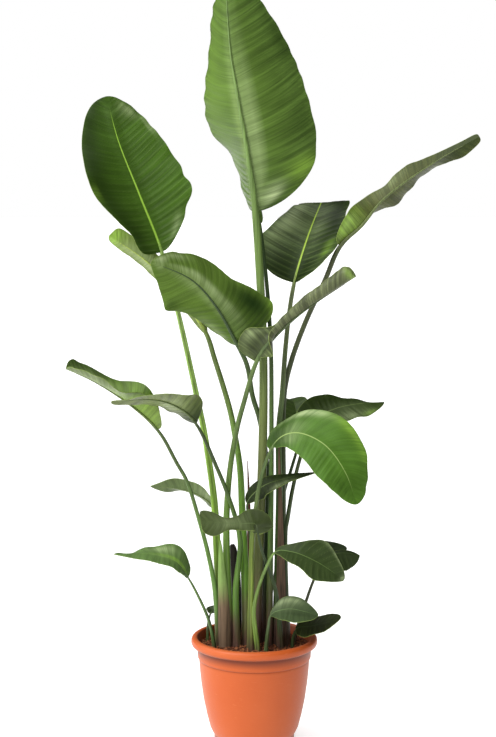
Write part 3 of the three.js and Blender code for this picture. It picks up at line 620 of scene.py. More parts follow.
LEAVES["leaf_low_right"] = dict(
    stalk=[(6, -42, 190), (-1, -43, 262), (5, -46, 300), (21, -56, 349), (39, -64, 382)],
    rib=[(71, -76, 384), (118, -96, 368), (163, -112, 340)],
    radius=(4.5, 2.2),
    face=[(-0.3, -0.5, 1), (0.1, -0.5, 1), (0.3, -0.5, 1)],
    right=half([20, 30, 35, 49, 30], (0.5, 0.5), [0, 0]),
    left=half([12, 24, 48, 38, 28], (0.5, 0.5), [20, 20]),
)
LEAVES["leaf_low_right_back"] = dict(
    stalk=[(13, 38, 190), (30, 46, 262), (48, 58, 334), (67, 68, 346)],
    rib=[(101, 86, 354), (182, 108, 350)],
    radius=(4, 2),
    face=[(-0.2, -0.5, 1), (0.1, -0.5, 1), (0.3, -0.5, 1)],
    right=half([17, 17], (0.5, 0.5), [0, 0, 0]),
    left=half([17, 17], (0.5, 0.5), [20, 20, 20]),
)
LEAVES["leaf_low_right_side"] = dict(
    stalk=[(76, 12, 190), (99, 22, 266), (115, 34, 307), (134, 46, 342)],
    rib=[(158, 52, 352), (182, 58, 352), (204, 60, 346)],
    radius=(3, 2),
    face=[(0, -0.5, 1), (0, -0.5, 0.8), (0, -0.5, 0.8)],
    right=half([30, 34, 42], (0.5, 0.5), [-40, -40]),
    left=half([10, 10], (0.5, 0.6), [-10, -10]),
)
LEAVES["leaf_base_right"] = dict(
    stalk=[(22, -46, 190), (26, -52, 236), (31, -54, 260)],
    rib=[(62, -66, 274), (88, -80, 274), (117, -96, 269)],
    radius=(3.8, 2),
    face=[(-0.2, -0.5, 1), (0.1, -0.6, 1), (0.3, -0.6, 1)],
    right=half([18, 28, 33, 36, 40], (0.5, 0.5), [0, 0]),
    left=half([10, 28, 27, 20, 14], (0.5, 0.5), [20, 20]),
)
LEAVES["leaf_base_right_back"] = dict(
    stalk=[(72, -16, 190), (79, -26, 225)],
    rib=[(104, -40, 234), (133, -58, 246), (160, -74, 259)],
    radius=(3, 2),
    face=[(-0.2, -0.5, 1), (0.1, -0.5, 1), (0.3, -0.5, 1)],
    right=half([32, 32], (0.5, 0.5), [0, 0, 0]),
    left=half([24, 24], (0.5, 0.5), [10, 10, 10]),
)
LEAVES["leaf_base_left"] = dict(
    stalk=[(-90, 20, 190), (-88, 26, 226), (-84, 34, 240)],
    rib=[(-81, 52, 241), (-88, 66, 244)],
    radius=(2.5, 1.6),
    face=[(0, -0.6, 1)] * 3,
    right=half([12, 12], (0.5, 0.5), [10, 10, 10]),
    left=half([12, 12], (0.5, 0.5), [10, 10, 10]),
)
print("leaves so far:", len(LEAVES))

# %% [markdown]
# The blade is the heart of this lesson. A real one is a smooth sheet that grew along a midrib. A cloth
# simulation would give it random folds, so the sheet is placed by a formula instead. First come its half
# width at each place and the axes that carry it: the way along the midrib, its upper side and its right.

# %% The shape of a blade
CUT_LENGTH = 0.04
NARROWEST = 0.5


def half_width(side, t):
    """Half the width of the blade at t. Two powers make its ends round or pointed, and cuts notch it."""
    foot, point = side["shape"]
    widest = foot / (foot + point)
    fullest = widest**foot * (1 - widest) ** point
    width = through(side["width"], t) * t**foot * (1 - t) ** point / fullest
    for place, depth in side["cuts"]:
        width = width - depth * np.exp(-(((t - place) / CUT_LENGTH) ** 2))
    return np.maximum(width, NARROWEST)


def blade_axes(route, lengths, hints, t):
    """The point, the way forward, the upper side and the right-hand side of the midrib."""
    forward = unit(on_route(route, "directions", lengths))
    hint = np.stack([through([h[axis] for h in hints], t) for axis in range(3)], axis=-1)
    upper = unit(hint - (hint * forward).sum(axis=-1, keepdims=True) * forward)
    return on_route(route, "points", lengths), forward, upper, np.cross(forward, upper)


middle = half_width(LEAVES["leaf_top"]["right"], np.array([0.5]))
print("right half of the tallest leaf at its middle:", round(float(middle[0])), "mm")

# %% [markdown]
# Dozens of side veins leave the midrib of a real blade and bend towards its tip. Between them the sheet
# is gently pleated. It rises over a shoulder beside the sunken midrib, and its margin flutters. All of
# this follows the same slanted lines, measured in millimetres along the midrib, so that the relief and
# the later stripes agree. Narrow blades get less of it. Each fade below is a pair of millimetres.

# %% Veins, pleats and flutter
VEIN_SLANT = (0.12, 0.6)
VEIN_BEND = 0.001
PLEAT_LENGTH = 11
PLEAT_HEIGHT = 0.6
PLEAT_DRIFTS = [(0.9, 23), (0.7, 9.7)]
PLEAT_OVERTONE = 0.35
PLEAT_AT_MARGIN = 0.35
FADE_FROM_RIB = (2, 14)
FADE_TO_MARGIN = (0, 22)
PLEATED_WIDTHS = (6, 30)
SHOULDER_HEIGHT = 3.5
SHOULDER_WIDTH = 9
SHOULDER_WIDTHS = (10, 70)
FLUTTER_LENGTH = 41
FLUTTER_HEIGHT = 1.3
FLUTTER_DRIFT = (1.1, 31)
FLUTTER_WIDTHS = (8, 40)


def vein_place(t, rib_gap, length):
    """Where along the midrib the vein through a point starts. Veins lean and bend to the tip."""
    return t * length - rib_gap * (VEIN_SLANT[0] + VEIN_SLANT[1] * t**2) - VEIN_BEND * rib_gap**2


def pleats(vein, phase):
    """The height of the pleats, from -1 to 1, for a place on the veins. Their spacing drifts a little."""
    turn = 2 * np.pi * vein / PLEAT_LENGTH
    for number, (size, length) in enumerate(PLEAT_DRIFTS, start=1):
        turn = turn + size * np.sin(vein / length + number * phase)
    return (np.sin(turn) + PLEAT_OVERTONE * np.sin(2 * turn + phase)) / (1 + PLEAT_OVERTONE)


def relief(vein, across, rib_gap, width, phase):
    """How far the sheet lies above its smooth form, in millimetres, and its pleats."""
    pleat = pleats(vein, phase)
    to_margin = PLEAT_AT_MARGIN + (1 - PLEAT_AT_MARGIN) * ease(*FADE_TO_MARGIN, width - rib_gap)
    pleated = ease(*FADE_FROM_RIB, rib_gap) * to_margin * ease(*PLEATED_WIDTHS, width)
    shoulder = ease(*SHOULDER_WIDTHS, width) * (1 - np.exp(-((rib_gap / SHOULDER_WIDTH) ** 2)))
    drift = FLUTTER_DRIFT[0] * np.sin(vein / FLUTTER_DRIFT[1])
    flutter = np.sin(2 * np.pi * vein / FLUTTER_LENGTH + 3 * phase + drift) * across**4
    lift = PLEAT_HEIGHT * pleated * pleat - SHOULDER_HEIGHT * shoulder
    return lift + FLUTTER_HEIGHT * flutter * ease(*FLUTTER_WIDTHS, width), pleat


print("pleats on 100 mm of midrib:", round(100 / PLEAT_LENGTH))

# %% [markdown]
# Each half is a grid of points: rows from the base to the tip, which lie closer together at both ends,
# and columns from the midrib to the margin. From the midrib a row sets out at the angle of its lift and
# bends evenly by its curl, so it is an arc. The relief is then added across that arc. The last column but
# one stays close to the margin, which gives the finish a crisp edge. Both halves join at the midrib and
# get a thickness.

# %% The sheet of a blade
BLADE_THICKNESS = 0.8
ROW_STEP = 1.8
FEWEST_ROWS = 24
HALF_COLUMNS = 17
COLUMN_POWER = 0.9
MARGIN_COLUMN = 0.8
MARGIN_COLUMN_RANGE = (0.3, 0.995)
LEAST_TURN = 1e-6
LOBE_FADE = 6


def column_shares(steps, width):
    """The share of the half width at each column. The last but one keeps near the margin."""
    nearest, farthest = MARGIN_COLUMN_RANGE
    across = np.broadcast_to(steps, (len(width), len(steps))).copy()
    nearest = steps[-3] + nearest * (1 - steps[-3])
    across[:, -2] = np.clip(1 - MARGIN_COLUMN / width, nearest, farthest)[:, 0]
    return across


def half_sheet(side, sign, t, steps, axes, length, phase, detail):
    """Points of one half of the blade from the midrib to the margin, and what its finish has to know."""
    point, forward, upper, right = (a[:, None, :] for a in axes)
    width = half_width(side, t)[:, None]
    across = column_shares(steps, width)
    t = t[:, None]
    start = np.radians(through(side["lift"], t))
    turn = np.radians(through(side["curl"], t)) / width
    turn = np.where(np.abs(turn) < LEAST_TURN, LEAST_TURN, turn)
    rib_gap = across * width
    angle = start + turn * rib_gap
    vein = vein_place(t, rib_gap, length)
    lift, pleat = relief(vein, across, rib_gap, width, phase)
    out = (np.sin(angle) - np.sin(start)) / turn - detail * lift * np.sin(angle)
    height, count, begin = side["wave"]
    wave = height * across**2 * np.sqrt(np.sin(np.pi * t)) * np.sin(2 * np.pi * (count * t + begin))
    up = (np.cos(start) - np.cos(angle)) / turn + detail * lift * np.cos(angle) + wave
    back = side["lobe"] * across**2 * (1 - t) ** LOBE_FADE
    grid = point + (sign * out)[..., None] * right + up[..., None] * upper - back[..., None] * forward
    facts = dict(vein=vein, pleat=pleat, rib_gap=rib_gap, margin_gap=width - rib_gap)
    facts.update(half=sign * across, along=t + 0 * across)
    return grid, facts


def blade_part(shape, route, start, end, phase, thickness=BLADE_THICKNESS, detail=1.0):
    """The whole blade as a thin solid, with the facts that its finish needs at each point."""
    length = end - start
    rows = max(FEWEST_ROWS, int(length / ROW_STEP))
    t = 0.5 - 0.5 * np.cos(np.pi * np.arange(rows + 1) / rows)
    axes = blade_axes(route, start + length * t, shape["face"], t)
    steps = np.linspace(0, 1, HALF_COLUMNS) ** COLUMN_POWER
    right, right_facts = half_sheet(shape["right"], 1, t, steps, axes, length, phase, detail)
    left, left_facts = half_sheet(shape["left"], -1, t, steps, axes, length, phase + 1, detail)
    grid = np.concatenate([left[:, :0:-1], right], axis=1)
    points, faces = thick_sheet(grid, thickness)
    facts = {}
    for key in right_facts:
        both = np.concatenate([left_facts[key][:, :0:-1], right_facts[key]], axis=1).ravel()
        facts[key] = np.concatenate([both, both])
    facts["upper_side"] = np.repeat([1.0, 0.0], grid.shape[0] * grid.shape[1])
    return points, faces, 0, facts


print("columns across a blade:", 2 * HALF_COLUMNS - 1)

# %% [markdown]
# The stalk of this plant isn't a plain rod. It has a channel along its upper side, it clasps the stem
# with a wider foot, and it runs on under the blade as a thick midrib that tapers to the tip. One tube
# with a shaped section does all three. Its rings follow the same route as the blade, so that the two
# always meet.

# %% Stalk and midrib
STALK_SIDES = 20
STALK_STEP = 5
ROOT_DEPTH = 26
CHANNEL_DEPTH = 0.42
CHANNEL_WIDTH = 0.5
FOOT_LENGTH = 220
FOOT_SWELL = 0.45
RIB_SHARE = 0.76
RIB_SINK = 0.86
RIB_TIP = 0.35
RIB_TAPER = 1.2
RIB_END = 0.9
JOIN_LENGTH = 36


def leaf_route(shape):
    """The route of a leaf from its foot to its tip, and the lengths at which its blade starts and ends."""
    foot = np.array(shape["stalk"][0]) - (0, 0, ROOT_DEPTH)
    places = [foot, *shape["stalk"], *shape["rib"]]
    route = smooth_route(places)
    base_step = round(ROUTE_STEPS * len(shape["stalk"]) / (len(places) - 1))
    return route, route["lengths"][base_step], route["lengths"][-1]


def stalk_part(shape, route, base, end):
    """A closed tube for the stalk and midrib, with the facts that its finish needs."""
    thick, thin = shape["radius"]
    stop = base + (end - base) * RIB_END
    s = np.linspace(0, stop, int(stop / STALK_STEP))
    t = np.clip((s - base) / (end - base), 0, 1)
    centre, forward, upper, right = blade_axes(route, s, shape["face"], t)
    joined = ease(base - JOIN_LENGTH, base + JOIN_LENGTH, s)
    rod = thick + (thin - thick) * np.sqrt(np.clip(s / base, 0, 1))
    rod = rod * (1 + FOOT_SWELL * np.exp(-np.maximum(s - ROOT_DEPTH, 0) / FOOT_LENGTH))
    rib = thin * RIB_SHARE * (RIB_TIP / thin + (1 - RIB_TIP / thin) * (1 - t) ** RIB_TAPER)
    radius = rod * (1 - joined) + rib * joined
    centre = centre - upper * (radius * RIB_SINK * joined)[:, None]
    turn = np.linspace(0, 2 * np.pi, STALK_SIDES, endpoint=False)
    from_top = np.minimum(turn, 2 * np.pi - turn)
    channel = CHANNEL_DEPTH * np.exp(-((from_top / CHANNEL_WIDTH) ** 2)) * (1 - joined)[:, None]
    reach = radius[:, None] * (1 - channel)
    spokes = np.cos(turn)[None, :, None] * upper[:, None] - np.sin(turn)[None, :, None] * right[:, None]
    points, faces = tube(centre[:, None] + reach[..., None] * spokes)
    share = np.repeat(np.where(s < base, s / base, 1 + t), STALK_SIDES)
    inside = (channel / CHANNEL_DEPTH).ravel()
    facts = dict(grown=np.append(share, [0, share[-1]]), channel=np.append(inside, [0, 0]))
    return points, faces, 1, facts


_, base, end = leaf_route(LEAVES["leaf_top"])
print("the tallest leaf: stalk", round(base), "mm, blade", round(end - base), "mm")

# %% [markdown]
# Finishes are node trees, so that nothing depends on a picture. The helpers that came with the studio
# light add a node and fill its sockets. A few more name the sums and mixes that come back again and
# again. Colours are written the way a paint chart gives them and are turned into the linear values that
# Blender counts with.

# %% Helpers for finishes
def paint(code):
    """A linear colour from a six-digit paint code."""
    channels = [int(code[i : i + 2], 16) / 255 for i in (0, 2, 4)]
    return (*[c / 12.92 if c <= 0.04045 else ((c + 0.055) / 1.055) ** 2.4 for c in channels], 1)


def toned(colour, factor):
    return (*[min(c * factor, 1) for c in colour[:3]], 1)


def times(tree, a, b):
    return maths(tree, "MULTIPLY", a, b)


def plus(tree, a, b):
    return maths(tree, "ADD", a, b)


def fact(tree, name):
    """A fact that travels with the mesh."""
    return add(tree, "ShaderNodeAttribute", {}, attribute_name=name).outputs["Fac"]


def mixed(tree, factor, a, b):
    """Mixes two colours."""
    return add(tree, "ShaderNodeMix", {0: factor, 6: a, 7: b}, data_type="RGBA").outputs[2]


def speckle(tree, vector, scale, detail=2.0, roughness=0.5):
    """A cloudy noise from 0 to 1."""
    inputs = {"Vector": vector, "Scale": scale, "Detail": detail, "Roughness": roughness}
    return add(tree, "ShaderNodeTexNoise", inputs).outputs["Fac"]


def object_place(tree, scale=(1, 1, 1)):
    """A place on the piece, in metres if the scale is left out."""
    place = add(tree, "ShaderNodeTexCoord", {}).outputs["Object"]
    return add(tree, "ShaderNodeMapping", {"Vector": place, "Scale": scale}).outputs["Vector"]


def drawn_out(tree, across, upward, detail, roughness=0.5):
    """A noise with one scale across the piece and another one upwards."""
    return speckle(tree, object_place(tree, (across, across, upward)), 1, detail, roughness)


def surface(roughness, shine):
    """How a finish scatters and mirrors the light."""
    return {"Roughness": roughness, "Specular IOR Level": shine}


def coated(finish, colour, height, depth):
    """Gives a finish its colour and its relief, whose depth is in millimetres."""
    tree = finish.node_tree
    bump = add(tree, "ShaderNodeBump", {"Height": height, "Distance": depth * MM, "Strength": 1.0})
    inputs = {"Base Color": colour, "Normal": bump.outputs["Normal"]}
    fill(tree, tree.nodes["Principled BSDF"], inputs)
    return finish


print("leaf green in linear values:", [round(c, 3) for c in paint("4F7A2E")])

# %% [markdown]
# Both faces of a blade carry fine streaks and broader stripes that run along the side veins. Plain noise
# would look like marble. Here its coordinates are two of the facts that travel with the mesh: the vein
# that a point belongs to, and its distance from the midrib. The first changes fast and the second slowly,
# so the noise is drawn out into long thin streaks. On a calm spot the sheet is smooth, and the streaks
# fade.

# %% Streaks along the veins
FINE_STREAKS = (0.4, 0.006)
BROAD_STRIPES = (0.08, 0.008)
BROAD_SHARE = 1.2
CLOUD_SCALE = 9
CLOUD_SHARE = 0.4
STREAK_RANGE = (0.95, 1.65)


def vein_noise(tree, along, outward):
    """Noise that changes fast from vein to vein and slowly along each of them."""
    places = {"X": times(tree, fact(tree, "vein"), along), "Y": times(tree, fact(tree, "rib_gap"), outward)}
    return speckle(tree, add(tree, "ShaderNodeCombineXYZ", places).outputs["Vector"], 1)


def streaked(tree, fine):
    """How light the sheet is, from 0 to 1. The middle value stands for a calm spot."""
    broad = times(tree, vein_noise(tree, *BROAD_STRIPES), BROAD_SHARE)
    cloudy = times(tree, speckle(tree, object_place(tree), CLOUD_SCALE), CLOUD_SHARE)
    amount = ramped(tree, plus(tree, plus(tree, fine, broad), cloudy), *STREAK_RANGE)
    return blended(tree, fact(tree, "calm"), amount, 0.5)


print("a fine streak is about", round(1 / FINE_STREAKS[0], 1), "mm wide")

# %% [markdown]
# Three kinds of marks lie over the streaks, and each has its own function, so that it can be tried alone.
# The grooves between the pleats are darker, partly as dark veins and partly as painted shade, and their
# ridges are paler with a painted highlight. Soft spots travel with the mesh: shade is painted shade in a
# deeper green, the silver spots are painted sheen and highlight with some waxy bloom, and glow is painted
# light that comes through the sheet. Last, the upper side has a pale midrib that narrows to the tip, and a
# thin painted rim light follows the margin.

# %% Lines and spots of a blade
PLEAT_FADE = (3, 16)
GROOVE_RANGE = (0.1, -0.9)
# Painted shade in the pleat grooves, which also stand for the dark side veins.
GROOVE_VEIN_SHADE_STRENGTH = 0.35
GROOVE_VEIN_SHADE_TONE = 0.45
RIDGE_RANGE = (0.4, 1.0)
# A painted highlight on the pleat ridges.
RIDGE_HIGHLIGHT_STRENGTH = 0.22
RIDGE_HIGHLIGHT = paint("8E9E62")
# How deep the painted shade is.
SHADE_TONE = 0.28
SPOT_STREAKS = (0.8, 0.45)
# Painted sheen and highlight, with some waxy bloom.
SHEEN_AND_BLOOM_PAINT = paint("AEBE8C")
# Painted light that shines through the sheet.
PAINTED_BACKLIGHT = paint("8DB542")
RIB_NARROWS = 1.15
RIB_EDGE = 0.3
RIB_FADE = (0.95, 0.75)
# A painted rim light along the margin.
MARGIN_RIM_LIGHT = paint("9DB35A")
RIM_LIGHT_EDGE = (0.8, 0.1)
RIM_LIGHT_STRENGTH = 0.4


def pleat_veins_and_painted_light(tree, colour, upper, contrast):
    """Darkens the pleat grooves, partly as dark veins and partly as painted shade, and pales their ridges
    as a painted highlight, but not on calm spots.
    """
    from_rib = ramped(tree, fact(tree, "rib_gap"), *PLEAT_FADE)
    pleated = maths(tree, "SUBTRACT", from_rib, fact(tree, "calm"), use_clamp=True)
    # The grooves: dark side veins and painted shade.
    groove_vein_shade = ramped(tree, fact(tree, "pleat"), *GROOVE_RANGE, 0.0, GROOVE_VEIN_SHADE_STRENGTH * contrast)
    colour = mixed(tree, times(tree, groove_vein_shade, pleated), colour, toned(upper, GROOVE_VEIN_SHADE_TONE))
    # The ridges: a painted highlight.
    ridge_highlight = ramped(tree, fact(tree, "pleat"), *RIDGE_RANGE, 0.0, RIDGE_HIGHLIGHT_STRENGTH * contrast)
    return mixed(tree, times(tree, ridge_highlight, pleated), colour, RIDGE_HIGHLIGHT)


def painted_light_spots(tree, colour, upper, amount):
    """Adds painted shade, painted sheen with some waxy bloom and painted light through the sheet. The last
    two are streaky.
    """
    streaky = plus(tree, times(tree, amount, SPOT_STREAKS[0]), SPOT_STREAKS[1])
    # Painted shade, then painted sheen with some bloom, then painted light through the sheet.
    colour = mixed(tree, fact(tree, "shade"), colour, toned(upper, SHADE_TONE))
    colour = mixed(tree, times(tree, fact(tree, "silver"), streaky), colour, SHEEN_AND_BLOOM_PAINT)
    return mixed(tree, times(tree, fact(tree, "glow"), streaky), colour, PAINTED_BACKLIGHT)


def pale_rib_and_rim_light(tree, colour, rib, rib_line):
    """Adds the pale midrib of the upper side and a thin painted rim light along the margin."""
    along = fact(tree, "along")
    to_tip = maths(tree, "SUBTRACT", RIB_NARROWS, along)
    tapered = maths(tree, "DIVIDE", fact(tree, "rib_gap"), to_tip)
    pale = times(tree, ramped(tree, tapered, rib_line, RIB_EDGE), ramped(tree, along, *RIB_FADE))
    colour = mixed(tree, times(tree, pale, fact(tree, "upper_side")), colour, rib)
    # A thin painted rim light along the margin.
    rim_light = ramped(tree, fact(tree, "margin_gap"), *RIM_LIGHT_EDGE, 0.0, RIM_LIGHT_STRENGTH)
    return mixed(tree, rim_light, colour, MARGIN_RIM_LIGHT)


print("silver in linear values:", [round(c, 2) for c in SHEEN_AND_BLOOM_PAINT])

# %% [markdown]
# A blade has two faces. The upper one is deeper green, and the under one is paler with a bluish bloom.
# The facts tell the finish which face a point is on, and the streaks lighten and darken the paint of that
# face. The same fine streaks also raise the surface a little, so the light plays on them.

# %% The finish of a blade
BLADE_ROUGHNESS = 0.36
DEEPEST = 0.4
LIGHTEST = 0.5
PORE_SCALE = 900
PORE_SHARE = 0.25
BLADE_RELIEF = 0.35


def blade_finish(name, upper, under, rib, rib_line, contrast, shine):
    """A finish for a blade. Contrast is the strength of its stripes, rib_line the width of its pale rib."""
    finish, tree = new_finish(name, surface(BLADE_ROUGHNESS, shine))
    fine = vein_noise(tree, *FINE_STREAKS)
    amount = streaked(tree, fine)
    deep, light = 1 - DEEPEST * contrast, 1 + LIGHTEST * contrast
    upper_colour = mixed(tree, amount, toned(upper, deep), toned(upper, light))
    under_colour = mixed(tree, amount, toned(under, deep), toned(under, light))
    colour = mixed(tree, fact(tree, "upper_side"), under_colour, upper_colour)
    colour = pleat_veins_and_painted_light(tree, colour, upper, contrast)
    colour = painted_light_spots(tree, colour, upper, amount)
    colour = pale_rib_and_rim_light(tree, colour, rib, rib_line)
    pores = times(tree, speckle(tree, object_place(tree), PORE_SCALE), PORE_SHARE)
    return coated(finish, colour, plus(tree, fine, pores), BLADE_RELIEF)


print("relief of a blade in millimetres:", BLADE_RELIEF)

# %% [markdown]
# A stalk is purple-brown and fibrous where it leaves the soil, turns green above, and ends as a pale rib.
# The share of its length travels with the mesh, so the colours can be mixed along it. Blotches let the
# brown end at an uneven height. Long streaks come from a noise that is stretched upwards, and the channel
# is darkened with painted shade. Such a noise is written as its scale across, its scale upwards and its
# detail.
# A small scale draws it out.

# %% The finish of a stalk
STALK_SURFACE = surface(roughness=0.4, shine=0.25)
STALK_FIBRES = (260, 9, 3.0)
STALK_BLOTCHES = (28, 9.8, 3.0)
BLOTCH_REACH = 0.3
BROWN_END = (0.064, 0.256)
TOP_START = (0.35, 0.9)
RIB_START = (0.95, 1.12)
FIBRE_RANGE = (0.35, 0.62)
FIBRE_STRENGTH = 0.4
FIBRE_DARK = (0.02, 0.03, 0.01, 1)
# Painted shade in the channel along the upper side.
CHANNEL_SHADE_STRENGTH = 0.5
CHANNEL_SHADE = (0.02, 0.035, 0.012, 1)
STALK_RELIEF = 0.5


def stalk_finish(name, foot, middle, top, rib):
    """A finish for a stalk, from its foot to the midrib that it becomes."""
    finish, tree = new_finish(name, STALK_SURFACE)
    grown = fact(tree, "grown")
    fibres = drawn_out(tree, *STALK_FIBRES)
    blotches = drawn_out(tree, *STALK_BLOTCHES)
    wander = plus(tree, grown, times(tree, maths(tree, "SUBTRACT", blotches, 0.5), BLOTCH_REACH))
    colour = mixed(tree, ramped(tree, wander, *BROWN_END), foot, middle)
    colour = mixed(tree, ramped(tree, grown, *TOP_START), colour, top)
    colour = mixed(tree, ramped(tree, grown, *RIB_START), colour, rib)
    dark = mixed(tree, FIBRE_STRENGTH, colour, FIBRE_DARK)
    colour = mixed(tree, ramped(tree, fibres, *FIBRE_RANGE), dark, colour)
    # Painted shade in the channel.
    colour = mixed(tree, times(tree, fact(tree, "channel"), CHANNEL_SHADE_STRENGTH), colour, CHANNEL_SHADE)
    return coated(finish, colour, fibres, STALK_RELIEF)


print("a stalk is green above", round(100 * BROWN_END[1]), "% of its length")

# %% [markdown]
# Now each leaf gets its colours. The blades differ as much as on the living plant: old ones are olive,
# the one at the right that catches the light is bright, and those in the middle are dark. A row gives the
# kind of leaf, the paints of its upper side, under side and rib, the paints of its stalk at the middle
# and at the top, and the contrast of its stripes. Most blades have the same faint shine. The six below
# have less, because they would mirror the bright sky too much.

# %% Colours of the leaves
LEAF_LOOKS = {
    "leaf_top": ("leaf_green", "34521C", "445A26", "6A8446", "646C3A", "60783A", 0.9),
    "leaf_young_spear": ("leaf_light", "7C9C42", "5A7434", "6F8A4A", "4F6A2E", "2E4020", 0.6),
    "leaf_upper_left": ("leaf_dark", "3A5618", "4A6E2E", "86AC3E", "84AA3C", "8FAE5C", 0.6),
    "leaf_upper_right": ("leaf_olive", "2B3D15", "4A5A30", "9CB848", "4C6E2E", "56603A", 1.2),
    "leaf_far_right": ("leaf_olive", "3F5A24", "40451F", "5A6636", "44522E", "3E4426", 0.9),
    "leaf_back_left": ("leaf_olive", "4A6A28", "67773C", "9DB04A", "6A9634", "5C6E38", 0.6),
    "leaf_arching_left": ("leaf_green", "3A5824", "506828", "36482A", "364A28", "44582C", 0.45),
    "leaf_rolled": ("leaf_olive", "45502C", "50563A", "4A5A34", "628232", "566A38", 1.2),
    "leaf_bright_right": ("leaf_bright", "466822", "426A24", "96AC66", "768A34", "506434", 0.35),
    "leaf_dark_right": ("leaf_dark", "2D3D14", "3F5024", "5F7040", "3A4A2A", "3F4A28", 0.3),
    "leaf_dark_behind": ("leaf_dark", "33441C", "34421F", "4A5A30", "44562E", "3A4A28", 0.6),
    "leaf_middle_left": ("leaf_light", "425626", "5B6C34", "6A7A44", "5F823A", "4A5C30", 0.5),
    "leaf_middle_left_front": ("leaf_olive", "46602C", "5E6A3A", "5A6A3A", "56782E", "3A4A26", 0.7),
    "leaf_low_left": ("leaf_olive", "46582E", "586840", "6F7F4C", "4A5F30", "55653A", 0.6),
    "leaf_lowest_left": ("leaf_green", "56703C", "55803A", "7F9A5A", "4F6A3A", "5F7A40", 0.5),
    "leaf_centre_front": ("leaf_dark", "434F2C", "56663C", "5A6A40", "3A4A2A", "3A4A2A", 0.4),
    "leaf_centre_dark": ("leaf_dark", "1B260B", "2E381A", "5A6A38", "4A6A2E", "3A4A28", 0.5),
    "leaf_low_right": ("leaf_green", "303E1E", "3F5A2A", "5F7540", "7A9642", "6F8A48", 0.4),
    "leaf_low_right_back": ("leaf_dark", "2E3A20", "404E2C", "4A5A30", "4F5F38", "4A5A34", 0.5),
    "leaf_low_right_side": ("leaf_dark", "2C381C", "2A3A1A", "4A5A30", "4A4A3A", "4A5034", 0.4),
    "leaf_base_right": ("leaf_green", "38462A", "3F5A2A", "5F7548", "4F603A", "4F603A", 0.25),
    "leaf_base_right_back": ("leaf_dark", "252C12", "22301A", "3A4A28", "3A4A2A", "3A4A2A", 0.4),
    "leaf_base_left": ("leaf_dark", "2E3A20", "3A5A24", "5F7A3A", "4A5A30", "4A5A30", 0.4),
}
USUAL_SHINE = 0.14
SHINE = {
    "leaf_top": 0.08,
    "leaf_arching_left": 0.06,
    "leaf_upper_left": 0.1,
    "leaf_upper_right": 0.1,
    "leaf_dark_right": 0.12,
    "leaf_centre_dark": 0.1,
}
print("kinds of leaf:", sorted({look[0] for look in LEAF_LOOKS.values()}))

# %% [markdown]
# The spots on each blade were placed one by one. A spot is a kind, a place along and across the blade, its
# length and width, and its strength. Along runs from 0 at the base to 1 at the tip. Across is the square
# of the share of the half width, negative on the left half, so 0.25 lies halfway to the right margin and
# small numbers keep close to the midrib.

